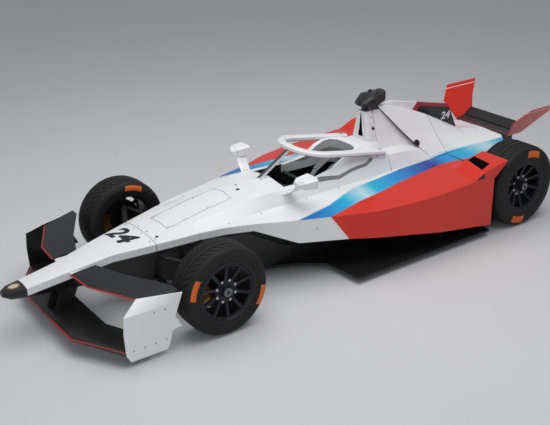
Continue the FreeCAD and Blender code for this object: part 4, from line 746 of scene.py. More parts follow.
def disc_form(form, centre, axis, radius, depth, segments):
    """Adds a short cylinder on an axis to a form and returns its points."""
    turn = Vector((0, 0, 1)).rotation_difference(Vector(axis)).to_matrix().to_4x4()
    return bmesh.ops.create_cone(form, cap_ends=True, cap_tris=False, segments=segments,
                                 radius1=radius, radius2=radius, depth=depth,
                                 matrix=Matrix.Translation(centre) @ turn)["verts"]


def strap(form, points, sign, width, thickness=0.0025, across=(0, 1, 0)):
    """Adds a flat strap through points on one side; across is the direction of its width."""
    half = Vector(across).normalized() * (width / 2)
    verts = [form.verts.new(Vector((x, sign * y, z)) - half) for x, y, z in points]
    edges = [form.edges.new(pair) for pair in zip(verts, verts[1:])]
    drawn = bmesh.ops.extrude_edge_only(form, edges=edges)["geom"]
    bmesh.ops.translate(form, vec=half * 2,
                        verts=[item for item in drawn if isinstance(item, bmesh.types.BMVert)])
    faces = [item for item in drawn if isinstance(item, bmesh.types.BMFace)]
    bmesh.ops.recalc_face_normals(form, faces=faces)
    bmesh.ops.solidify(form, geom=faces, thickness=thickness)


def turned(form, outline, about, axis, steps):
    """Turns an outline of (distance from the axis, place along it) about any axis into a form.

    An outline that starts on the axis is closed at its foot.
    """
    outline = list(outline)
    if outline[0][0] == 0.0 < outline[-1][0]:
        outline.append((0.0, outline[-1][1]))
    about = Vector(about)
    along = Vector(axis).normalized()
    away = along.orthogonal().normalized()
    verts = [form.verts.new(about + away * reach + along * rise) for reach, rise in outline]
    edges = [form.edges.new(pair) for pair in zip(verts, verts[1:])]
    bmesh.ops.spin(form, geom=verts + edges, cent=about, axis=along, dvec=(0, 0, 0),
                   angle=FULL_TURN, steps=steps, use_merge=True, use_normal_flip=False,
                   use_duplicate=False)


def turned_pieces(name, items, body, material, angle=35.0):
    """One object of turned pieces, each given as its outline, place, axis and steps."""
    form = bmesh.new()
    for item in items:
        turned(form, *item)
    settle(finish_form(form, name), body, material, angle)


class Surface:
    """Finds points on solids of the frame."""

    def __init__(self, *nodes):
        form = bmesh.new()
        for node in nodes:
            form.from_mesh(NODES[node].data)
        self.tree = BVHTree.FromBMesh(form)
        form.free()

    def hit(self, start, towards):
        """The first point met from start, and the surface's normal there."""
        place, normal = self.tree.ray_cast(Vector(start), Vector(towards))[:2]
        if place is None:
            raise ValueError("no surface from %s towards %s" % (tuple(start), tuple(towards)))
        return place, normal

    def top(self, along, across):
        """The first point met from above."""
        return self.hit((along, across, ABOVE), (0, 0, -1))

    def flank(self, along, sign, height):
        """The first point met from one side of the car."""
        return self.hit((along, sign * BESIDE, height), (0, -sign, 0))


def stud(form, place, normal, radius, height):
    """A fastener's head with a socket, standing on a surface."""
    sunk = 0.0005
    middle = place + normal * (height / 2 - sunk)
    made = disc_form(form, middle, normal, radius, height + 2 * sunk, segments=10)
    faces = {face for vert in made for face in vert.link_faces}
    head = max(faces, key=lambda face: face.calc_center_median().dot(normal))
    bmesh.ops.inset_region(form, faces=[head], thickness=radius * 0.22, depth=height * 0.25)
    bmesh.ops.inset_region(form, faces=[head], thickness=radius * 0.30)
    bmesh.ops.inset_region(form, faces=[head], thickness=0.0002, depth=-height * 0.8)


def studs(name, material, shell, radius, height, tops=(), flanks=()):
    """Fasteners on both sides, at (along, across) from above and (along, height) from beside."""
    form = bmesh.new()
    for sign in SIGNS:
        places = [shell.top(along, sign * across) for along, across in tops]
        places += [shell.flank(along, sign, rise) for along, rise in flanks]
        for place, normal in places:
            stud(form, place, normal.normalized(), radius, height)
    settle(finish_form(form, name, FINE_MERGE), "chassis", material, angle=30.0)


def numeral(name, surface, material, height, place, reading, upwards, cast):
    """The plain number laid on a surface; it is cast onto it along a direction."""
    digit_share, boldness, stretch, cells, thickness = 0.72, 0.045, 1.22, 12, 0.0008
    curve = bpy.data.curves.new(name, "FONT")
    curve.body = "24"
    curve.size = height / digit_share
    curve.shear = 0.25
    curve.offset = height * boldness
    curve.align_x = "CENTER"
    curve.align_y = "CENTER"
    holder = bpy.data.objects.new(name + "_text", curve)
    bpy.context.scene.collection.objects.link(holder)
    graph = bpy.context.evaluated_depsgraph_get()
    flat = bpy.data.meshes.new_from_object(holder.evaluated_get(graph))
    bpy.data.objects.remove(holder)
    form = bmesh.new()
    form.from_mesh(flat)
    bpy.data.meshes.remove(flat)
    bmesh.ops.remove_doubles(form, verts=form.verts, dist=0.0001)
    bmesh.ops.scale(form, vec=(stretch, 1, 1), verts=form.verts)
    reading = Vector(reading).normalized()
    upwards = Vector(upwards).normalized()
    cast = Vector(cast)
    turn = Matrix((reading, upwards, reading.cross(upwards))).transposed().to_4x4()
    bmesh.ops.transform(form, matrix=Matrix.Translation(place) @ turn, verts=form.verts)
    for direction in (reading, upwards):
        for step in range(1 - cells, cells):
            bmesh.ops.bisect_plane(form, geom=form.verts[:] + form.edges[:] + form.faces[:],
                                   plane_co=Vector(place) + direction * (step * height / cells),
                                   plane_no=direction)
    for vert in form.verts:
        vert.co = surface.hit(vert.co - cast * 0.5, cast)[0] - cast * thickness
    bmesh.ops.recalc_face_normals(form, faces=form.faces)
    facing = sum((face.normal * face.calc_area() for face in form.faces), Vector())
    if facing.dot(cast) > 0:
        bmesh.ops.reverse_faces(form, faces=form.faces)
    thicken(settle(new_mesh(name, form), "chassis", material), thickness,
            offset=-0.5)


# Panel in the sidebar, sizes and colours


class PaintSettings(bpy.types.PropertyGroup):
    """Colours that a user would change."""

    white: FloatVectorProperty(name="White", description="Main colour of the body", subtype="COLOR",
                               size=3, default=(0.80, 0.80, 0.81), min=0.0, max=1.0)
    red: FloatVectorProperty(name="Red", description="Colour outside the blue band",
                             subtype="COLOR", size=3, default=(0.68, 0.026, 0.012), min=0.0,
                             max=1.0)
    orange: FloatVectorProperty(name="Orange", description="Blocks on the tyres", subtype="COLOR",
                                size=3, default=(0.70, 0.14, 0.03), min=0.0, max=1.0)


class PieceSettings(bpy.types.PropertyGroup):
    """Sizes that a user would change."""

    edge_round: FloatProperty(name="Edge rounding", description="Rounding of the panels' edges",
                              unit="LENGTH", default=0.004, min=0.0, max=0.01)
    wheel_steps: IntProperty(name="Wheel steps", description="Facets round a tyre, a multiple of 3",
                             default=120, min=48, max=180)
    groove_depth: FloatProperty(name="Groove depth", description="Depth of the tread's grooves",
                                unit="LENGTH", default=0.004, min=0.0, max=0.008)
    belt_width: FloatProperty(name="Belt width", description="Width of the shoulder belts",
                              unit="LENGTH", default=0.050, min=0.03, max=0.08)
    stud_radius: FloatProperty(name="Fastener radius", unit="LENGTH", default=0.0055, min=0.003,
                               max=0.01, description="Radius of the fasteners on the body")


class StageSettings(bpy.types.PropertyGroup):
    """Strength of the lights."""

    lamp_power: FloatProperty(name="Lamp power", default=255.0, min=0.0,
                              description="Strength of the large lamp overhead, in watts")
    front_power: FloatProperty(name="Front lamp power", default=70.0, min=0.0,
                               description="Strength of the lamp at the front, in watts")
    room_light: FloatProperty(name="Room light", default=0.36, min=0.0,
                              description="Strength of the light from all around")


class Settings:
    """Reads a setting of the scene by its name."""

    def __getattr__(self, name):
        scene = bpy.context.scene
        for group in (scene.racer_paint, scene.racer_pieces, scene.racer_stage):
            if name in type(group).__annotations__:
                value = getattr(group, name)
                return tuple(value) if hasattr(value, "__len__") else value
        raise AttributeError(name)


CAR = Settings()


class RACER_OT_body(bpy.types.Operator):
    """Puts the painted skins over the body's panels"""

    bl_idname = "racer.body"
    bl_label = "Body panels"

    def execute(self, context):
        body = paint_body()
        for node in ("nose_cone", "monocoque", "sidepod_left", "sidepod_right", "engine_cover",
                     "tail_deck", "roll_hoop"):
            skin_of(node, body, CAR.edge_round, angle=14.0)
        skin_of("tail_fin", paint_fin())
        carbon = paint_carbon()
        for node in ("camera_pod", "nose_tip", "rear_crash_box", "floor", "diffuser"):
            skin_of(node, carbon, width=0.002)
        return {"FINISHED"}


class RACER_OT_seams(bpy.types.Operator):
    """Adds the joints between the panels and the fasteners along them"""

    bl_idname = "racer.seams"
    bl_label = "Panel joints and fasteners"

    hatch_half, hatch_front, hatch_rear = 0.120, 1.30, 0.74
    joint_half, joint_thickness, hatch_thickness = 0.001, 0.0010, 0.0022
    # Fasteners seen from above: (places along the car, distance from the middle) of each row.
    rows = (((1.28, 1.14, 0.94, 0.76), hatch_half - 0.016),
            ((0.90, 0.62, 0.20, -0.12, -0.44, -0.76), 0.325),
            ((-0.80, -0.98, -1.16, -1.31, -1.36, -1.52, -1.70, -1.86), 0.330))
    # Fasteners seen from beside, as places along the car and heights.
    flanks = ((0.30, 0.44), (-0.10, 0.30), (-0.50, 0.24), (-0.90, 0.20), (-1.26, 0.17),
              (-1.295, 0.30), (-1.295, 0.42), (-1.295, 0.54))

    def execute(self, context):
        dark = paint_plastic("joint filler", (0.05, 0.05, 0.052), rough=0.6)
        steel = paint_metal("fastener steel", (0.42, 0.42, 0.43))
        nose_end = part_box("nose_cone")[0].x
        cover_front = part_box("engine_cover")[1].x
        cover_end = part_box("engine_cover")[0].x
        half = self.joint_half

        def over(spot, normal):
            return normal.z > -0.3 and spot.z > 0.25

        def on_top(spot, normal):
            return normal.z > 0.5 and spot.z > 0.5

        def strip(place, axis):
            return between(place - half, place + half, axis)

        for name, node, place in (("nose_joint", "nose_cone", nose_end + half),
                                  ("cover_front_joint", "engine_cover", cover_front - half),
                                  ("tail_joint", "tail_deck", cover_end - half)):
            patch(node, name, dark, strip(place, 0), self.joint_thickness, over)
        along = between(self.hatch_rear, self.hatch_front, 0)
        across = between(-self.hatch_half, self.hatch_half, 1)
        for name, place in (("front", self.hatch_front), ("rear", self.hatch_rear)):
            patch("monocoque", "hatch_joint_" + name, dark, strip(place, 0) + across,
                  self.hatch_thickness, on_top)
        for side, sign in SIDES:
            patch("monocoque", "hatch_joint_" + side, dark,
                  along + strip(sign * self.hatch_half, 1), self.hatch_thickness, on_top)

        shell = Surface("nose_cone", "monocoque", "sidepod_left", "sidepod_right", "engine_cover",
                        "tail_deck")
        tops = [(nose_end + step, across) for across in (0.060, 0.180) for step in (0.022, -0.020)]
        tops += [(along, across) for places, across in self.rows for along in places]
        studs("body_fasteners", steel, shell, CAR.stud_radius, height=0.0022,
              tops=tops, flanks=self.flanks)
        return {"FINISHED"}


class RACER_OT_nose(bpy.types.Operator):
    """Adds the lens in the tip, the sensors in the cowl and a plain number"""

    bl_idname = "racer.nose"
    bl_label = "Nose and cowl fittings"

    lens_front, lens_rear, lens_slimness = 2.466, 2.370, 0.62
    # Places along the car, distances to the left and radii.
    sensors = ((1.408, 0.165, 0.013), (0.640, 0.050, 0.016), (0.610, -0.018, 0.010))

    def execute(self, context):
        shell = Surface("nose_cone", "nose_tip", "monocoque")
        black = paint_plastic("black fitting", JET, rough=0.35)
        length = self.lens_front - self.lens_rear
        place, normal = shell.top((self.lens_front + self.lens_rear) / 2, 0.0)
        form = bmesh.new()
        outline = [(reach * (length / 2), rise) for reach, rise in NOSE_LENS]
        turned(form, outline, (0, 0, 0), (0, 0, 1), steps=32)
        bmesh.ops.scale(form, vec=(1.0, self.lens_slimness, 1.0), verts=form.verts)
        lean = Vector((0, 0, 1)).rotation_difference(normal).to_matrix().to_4x4()
        bmesh.ops.transform(form, matrix=Matrix.Translation(place) @ lean, verts=form.verts)
        settle(finish_form(form, "nose_lens"), "chassis",
               paint_lens(place, length, self.lens_slimness * length), angle=40.0)

        items = []
        for along, across, radius in self.sensors:
            outline = [(reach * radius, rise) for reach, rise in SENSOR]
            items.append((outline, *shell.top(along, across), 20))
        turned_pieces("cowl_fittings", items, "chassis", black,
                      angle=40.0)
        numeral("nose_number", shell, black, height=0.145, place=(1.590, -0.047, 0.8),
                reading=(0, 1, 0), upwards=(-1, 0, 0), cast=(0, 0, -1))
        return {"FINISHED"}


class RACER_OT_cockpit(bpy.types.Operator):
    """Finishes the head surround, the seat, the belts and the steering wheel"""

    bl_idname = "racer.cockpit"
    bl_label = "Cockpit"

    # Middle lines of the left belts: places along the car, distances to the left and heights.
    shoulder_belt = ((-0.452, 0.066, 0.650), (-0.400, 0.068, 0.664), (-0.345, 0.070, 0.660),
                     (-0.280, 0.070, 0.634), (-0.200, 0.070, 0.588), (-0.166, 0.068, 0.556),
                     (-0.150, 0.064, 0.500), (-0.160, 0.056, 0.400), (-0.186, 0.044, 0.300),
                     (-0.214, 0.032, 0.238))
    lap_belt = ((-0.225, 0.036, 0.232), (-0.236, 0.075, 0.215), (-0.262, 0.112, 0.190))
    leg_belt = ((-0.205, 0.016, 0.225), (-0.155, 0.022, 0.190), (-0.110, 0.028, 0.150))
    belt_pad = ((-0.352, 0.070, 0.671), (-0.280, 0.070, 0.643), (-0.196, 0.070, 0.594))
    adjusters = ((-0.152, 0.062, 0.470), (-0.170, 0.050, 0.352))
    lock_place, lock_axis = (-0.222, 0, 0.238), (0.55, 0, 0.83)
    # The steering wheel: its centre, its tilt, and places to the side and up on its face.
    wheel_centre, wheel_tilt = (0.070, 0, 0.555), math.radians(20)
    caps = (("red", (0.50, 0.02, 0.015), 0.078, 0.048),
            ("green", (0.02, 0.30, 0.04), 0.078, 0.022),
            ("blue", (0.02, 0.08, 0.45), 0.074, -0.006),
            ("yellow", (0.65, 0.45, 0.02), 0.050, -0.030),
            ("white", (0.70, 0.70, 0.70), 0.024, -0.034))

    def execute(self, context):
        skin_of("head_surround", paint_surround(), CAR.edge_round, angle=20.0, segments=3)
        skin_of("seat", paint_carbon("seat laminate", rough=0.4), width=0.006)
        self.belts()
        self.controls()
        return {"FINISHED"}

    def belts(self):
        """Shoulder, lap and leg belts, the pads on the shoulders, the lock and the adjusters."""
        width = CAR.belt_width
        form = bmesh.new()
        for sign in SIGNS:
            strap(form, self.shoulder_belt, sign, width)
            strap(form, self.lap_belt, sign, width, across=(1, 0, 0.4))
            strap(form, self.leg_belt, sign, width * 0.6)
        settle(finish_form(form, "belts", 0.0), "chassis",
               paint_cloth("belt webbing", (0.30, 0.305, 0.31)), angle=50.0)
        form = bmesh.new()
        for sign in SIGNS:
            strap(form, self.belt_pad, sign, width * 1.25, thickness=0.010)
        pads = settle(finish_form(form, "belt_pads", 0.0), "chassis",
                      paint_cloth("pad cloth", (0.20, 0.20, 0.205), pitch=0.004),
                      angle=50.0)
        soften(pads, width=0.003, angle=40.0)
        form = bmesh.new()
        turned(form, BELT_LOCK, self.lock_place, self.lock_axis, steps=28)
        for sign in SIGNS:
            for x, y, z in self.adjusters:
                box_form(form, (x - 0.004, sign * y - 0.030, z - 0.012),
                         (x + 0.006, sign * y + 0.030, z + 0.012), rounding=0.0015)
        settle(finish_form(form, "belt_buckles"), "chassis",
               paint_metal("buckle steel", (0.50, 0.50, 0.51), rough=0.25), angle=30.0)

    def controls(self):
        """The steering wheel with its bezel, display, buttons and paddles."""
        skin_of("steering_wheel", paint_plastic("grip", (0.02, 0.02, 0.02)), width=0.004)
        face = Surface("steering_wheel")
        centre = Vector(self.wheel_centre)
        lean, stand = math.sin(self.wheel_tilt), math.cos(self.wheel_tilt)
        towards, upward = Vector((stand, 0, -lean)), Vector((lean, 0, stand))
        turn = Matrix((towards, Vector((0, 1, 0)), upward)).transposed().to_4x4()
        seat_wheel = Matrix.Translation(centre) @ turn

        def face_at(across, rise):
            start = centre - towards * 0.2 + upward * rise + Vector((0, across, 0))
            return face.hit(start, towards)[0]

        def mount(form, name, material, merge=MERGE):
            bmesh.ops.transform(form, matrix=seat_wheel, verts=form.verts)
            settle(finish_form(form, name, merge), "driver_wheel", material,
                   angle=30.0)

        def panel(name, half, low, high, out, thickness, rounding, material):
            depth = (face_at(0.0, (low + high) / 2) - centre).dot(towards) - out
            form = bmesh.new()
            box_form(form, (depth, -half, low), (depth + thickness, half, high), rounding)
            mount(form, name, material)

        panel("wheel_bezel", 0.060, -0.012, 0.060, out=0.006, thickness=0.008, rounding=0.002,
              material=paint_plastic("bezel", (0.03, 0.03, 0.032), rough=0.3))
        panel("wheel_display", 0.052, -0.005, 0.053, out=0.0068, thickness=0.002, rounding=0.0,
              material=paint_display())
        for name, colour, across, rise in self.caps:
            items = [(BUTTON, face_at(sign * across, rise), -towards, 18) for sign in SIGNS]
            turned_pieces("buttons_" + name, items, "driver_wheel",
                          paint_plastic("cap " + name, colour, rough=0.35))
        form = bmesh.new()
        for sign in SIGNS:
            box_form(form, (0.030, sign * 0.085 - 0.032, -0.045),
                     (0.034, sign * 0.085 + 0.032, 0.040), rounding=0.0015)
            box_form(form, (0.010, sign * 0.050 - 0.008, -0.010),
                     (0.032, sign * 0.050 + 0.008, 0.010))
        mount(form, "shift_paddles", paint_carbon("paddle laminate"), 0.0)


class RACER_OT_halo(bpy.types.Operator):
    """Finishes the halo, the roll hoop's fittings and the camera pod's lenses"""

    bl_idname = "racer.halo"
    bl_label = "Halo and roll hoop"

    # Bolts seen from above on the feet and the plinth, and from beside on the hoop.
    bolt_tops = ((-0.625, 0.238), (-0.600, 0.238), (-0.625, 0.250), (-0.600, 0.250), (0.405, 0.026),
                 (0.368, 0.026))
    bolt_flanks = ((-0.667, 0.82), (-0.667, 0.90), (-0.667, 0.97))
    lens_across, lens_height = 0.030, 1.083
    aerial_front, aerial_middle, aerial_rear = -0.725, -0.745, -0.760
    aerial_across, aerial_half = 0.045, 0.0015

    def execute(self, context):
        skin_of("halo", paint_halo(), CAR.edge_round, angle=20.0, segments=3)
        steel = paint_metal("halo bolts", (0.32, 0.32, 0.33))
        studs("halo_bolts", steel, Surface("halo", "monocoque", "roll_hoop"),
              radius=0.0055, height=0.002, tops=self.bolt_tops, flanks=self.bolt_flanks)

        pod = Surface("camera_pod")
        items = []
        for sign in SIGNS:
            place = pod.hit((0.0, sign * self.lens_across, self.lens_height), (-1, 0, 0))[0]
            items.append((CAMERA_LENS, place, (1, 0, 0), 24))
        turned_pieces("camera_lenses", items, "chassis",
                      paint_glass("camera glass"))
        form = bmesh.new()
        for sign in SIGNS:
            across = sign * self.aerial_across
            foot = pod.top(self.aerial_middle, across)[0].z - 0.004
            box_form(form, (self.aerial_rear, across - self.aerial_half, foot),
                     (self.aerial_front, across + self.aerial_half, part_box("camera_pod")[1].z))
        settle(finish_form(form, "camera_aerials"), "chassis",
               paint_carbon("aerial laminate"), angle=30.0)

        hoop = Surface("roll_hoop")
        items = [(HOOP_MARK, *hoop.flank(-0.672, sign, 0.880), 20) for sign in SIGNS]
        turned_pieces("hoop_marks", items, "chassis",
                      paint_plastic("hoop mark", JET, rough=0.35))
        return {"FINISHED"}


class RACER_OT_mirrors(bpy.types.Operator):
    """Finishes the mirrors and puts in their glasses"""

    bl_idname = "racer.mirrors"
    bl_label = "Mirrors"

    # Limits of the left glass to the side and up, and its thickness ahead of the shell's rear.
    glass_inner, glass_outer, glass_foot, glass_head = 0.384, 0.506, 0.727, 0.790
    glass_out, glass_in, corner_round = 0.0012, 0.003, 0.016
    bolt_tops = ((0.325, 0.292), (0.352, 0.292))

    def execute(self, context):
        silver = paint_glass("mirror glass", (0.72, 0.74, 0.76), rough=0.02, metallic=1.0)
        for side, sign in SIDES:
            node = "mirror_" + side
            skin_of(node, paint_mirror(side), CAR.edge_round, angle=20.0, segments=3)
            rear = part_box(node)[0].x
            form = bmesh.new()
            box_form(form, (rear - self.glass_out, self.glass_inner, self.glass_foot),
                     (rear + self.glass_in, self.glass_outer, self.glass_head))
            corners = []
            for edge in form.edges:
                first, last = [vert.co.x for vert in edge.verts]
                if abs(first - last) > 0.002:
                    corners.append(edge)
            round_edges(form, corners, self.corner_round, segments=5)
            bmesh.ops.scale(form, vec=(1, sign, 1), verts=form.verts)
            settle(finish_form(form, "mirror_glass_" + side), "chassis", silver,
                   angle=30.0)
        studs("mirror_bolts", paint_metal("mirror bolts", GREY),
              Surface("mirror_left", "mirror_right"), radius=0.005, height=0.002,
              tops=self.bolt_tops)
        return {"FINISHED"}


class RACER_OT_tail(bpy.types.Operator):
    """Finishes the tail: the caps and vents, the rear wing, the lights and the fin's numbers"""

    bl_idname = "racer.tail"
    bl_label = "Tail and rear wing"

    vent_front, vent_rear, vent_foot, vent_inner = -1.128, -1.205, 0.5515, 0.60
    bolt_flanks = ((-2.10, 0.600), (-2.16, 0.606), (-2.22, 0.622), (-2.27, 0.640))
    light_rows, light_foot, light_rise, light_step = 5, 0.415, 0.018, 0.016

    def execute(self, context):
        black = paint_plastic("black trim", JET, rough=0.35)
        shell = Surface("engine_cover", "tail_deck", "sidepod_left", "sidepod_right")
        items = [(CHARGING_CAP, *shell.top(-1.060, sign * 0.205), 32) for sign in SIGNS]
        turned_pieces("charging_caps", items, "chassis", black)

        def on_outer_wall(spot, normal):
            return normal.z < 0.6 and abs(spot.y) > self.vent_inner and normal.y * spot.y > 0

        cuts = between(self.vent_rear, self.vent_front, 0)
        cuts.append((Vector((0, 0, self.vent_foot)), Vector((0, 0, -1))))
        for side, _ in SIDES:
            patch("sidepod_" + side, "pod_vent_" + side, black, cuts, thickness=0.0012,
                  keep_if=on_outer_wall)

        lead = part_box("rear_wing")[1].x
        edge = ((0.0, lead), (0.40, lead))
        skin_of("rear_wing", paint_wing("rear wing laminate", edge, back=0.012, width=0.007),
                width=0.0015)
        plate_paint = paint_rear_plate()
        for side, _ in SIDES:
            skin_of("rear_endplate_" + side, plate_paint, width=0.002)
        studs("rear_wing_bolts", paint_metal("wing bolts", GREY),
              Surface("rear_endplate_left", "rear_endplate_right"), radius=0.006, height=0.002,
              flanks=self.bolt_flanks)

        box = Surface("rear_crash_box")
        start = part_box("rear_crash_box")[0].x - 0.2
        items = []
        for row in range(self.light_rows):
            for column in (-1, 0, 1):
                spot = (start, column * self.light_step, self.light_foot + row * self.light_rise)
                items.append((LIGHT_LENS, box.hit(spot, (1, 0, 0))[0], (-1, 0, 0), 14))
        turned_pieces("rear_light_lenses", items, "chassis",
                      paint_lamp("rear light", (0.75, 0.02, 0.015), glow=0.6), angle=40.0)

        fin = Surface("tail_fin")
        white = paint_plastic("number white", (0.62, 0.62, 0.62), rough=0.35)
        for side, sign in SIDES:
            numeral("fin_number_" + side, fin, white, height=0.064,
                    place=(-1.574, sign * 0.3, 0.795), reading=(-sign, 0, 0),
                    upwards=(0.12, 0, 1), cast=(0, -sign, 0))
        return {"FINISHED"}


class RACER_OT_front_wing(bpy.types.Operator):
    """Finishes the front wing: black planes with crimson lines, white end plates, their bolts"""

    bl_idname = "racer.front_wing"
    bl_label = "Front wing"

    bolt_flanks = ((1.96, 0.115), (1.88, 0.115), (1.80, 0.115), (1.72, 0.118), (1.72, 0.345),
                   (1.80, 0.345))

    def execute(self, context):
        skin_of("front_wing_lower", paint_wing("lower wing laminate", LOWER_WING_EDGE), width=0.0)
        skin_of("front_wing_upper", paint_wing("upper wing laminate", UPPER_WING_EDGE), width=0.0)
        plate = paint_end_plate()
        for side, _ in SIDES:
            skin_of("front_endplate_" + side, plate, width=0.002)
        studs("front_wing_bolts", paint_metal("front wing bolts", GREY),
              Surface("front_endplate_left", "front_endplate_right"), radius=0.005,
              height=0.0018, flanks=self.bolt_flanks)
        return {"FINISHED"}


class RACER_OT_running_gear(bpy.types.Operator):
    """Finishes the suspension, the steering, the brakes and the solids inside"""

    bl_idname = "racer.running_gear"
    bl_label = "Running gear"

    rib_half, rib_reach, upright_ribs = 0.003, 0.170, (-0.165, -0.110, 0.110, 0.165)
    level_ribs = (0.20, 0.25, 0.30)
    # The left caliper's section, as distances from the axle and from the wheel's middle outwards.
    caliper_section = ((0.108, 0.019), (0.108, 0.040), (0.176, 0.040), (0.188, 0.030),
                       (0.188, -0.028), (0.176, -0.038), (0.108, -0.038), (0.108, -0.021),
                       (0.157, -0.021), (0.157, 0.019))
    caliper_sweep, piston_angles = math.radians(54), (-18, 0, 18)

    def execute(self, context):
        arms = paint_carbon("suspension laminate", rough=0.35)
        # The drive unit's dark grey is partly the casing's own colour and partly painted shade.
        shade_darkened_alloy = paint_metal("machined alloy", (0.20, 0.20, 0.205), rough=0.36)
        dark = paint_metal("dark anodised", (0.06, 0.06, 0.065), rough=0.35)
        for node, material in (("front_wishbones_", arms), ("rear_wishbones_", arms),
                               ("front_upright_", dark), ("rear_upright_", dark)):
            for side, _ in SIDES:
                skin_of(node + side, material, width=0.001)
        skin_of("steering_rack", dark, width=0.0)
        skin_of("rear_drive_unit", shade_darkened_alloy, width=0.006)
        case = paint_plastic("battery case", (0.03, 0.03, 0.033), rough=0.5)
        skin_of("battery_pack", case, width=0.006)

        low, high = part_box("rear_drive_unit")
        half, reach = self.rib_half, self.rib_reach
        form = bmesh.new()
        for across in self.upright_ribs:
            box_form(form, (low.x - 0.010, across - half, low.z + 0.03),
                     (low.x + 0.001, across + half, high.z - 0.03))
        for height in self.level_ribs:
            box_form(form, (low.x - 0.008, -reach, height - half),
                     (low.x + 0.001, reach, height + half))
        settle(finish_form(form, "drive_unit_ribs", 0.0), "chassis", shade_darkened_alloy,
               angle=30.0)
        bronze = paint_metal("caliper bronze", (0.30, 0.16, 0.06))
        for side, sign in SIDES:
            self.caliper(side, sign, bronze)
        return {"FINISHED"}

    def caliper(self, side, sign, material):
        """A brake caliper round the front of the disc, with its pistons' caps."""
        low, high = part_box("front_tyre_" + side)
        centre = (low + high) / 2
        start = Matrix.Rotation(self.caliper_sweep / 2, 3, "Y")
        form = bmesh.new()
        face = form.faces.new([form.verts.new(centre + start @ Vector((reach, sign * out, 0)))
                               for reach, out in self.caliper_section])
        bmesh.ops.spin(form, geom=[face] + face.edges[:] + face.verts[:], cent=centre,
                       axis=(0, 1, 0), dvec=(0, 0, 0), angle=-self.caliper_sweep, steps=9,
                       use_duplicate=False)
        bmesh.ops.recalc_face_normals(form, faces=form.faces)
        for angle in self.piston_angles:
            turn = Matrix.Rotation(math.radians(angle), 3, "Y")
            spot = centre + turn @ Vector((0.135, sign * 0.040, 0))
            disc_form(form, spot, (0, 1, 0), radius=0.016, depth=0.006, segments=20)
        piece = settle(finish_form(form, "brake_caliper_" + side, FINE_MERGE), "knuckle_" + side,
                       material, angle=35.0)
        soften(piece, width=0.002, angle=40.0)


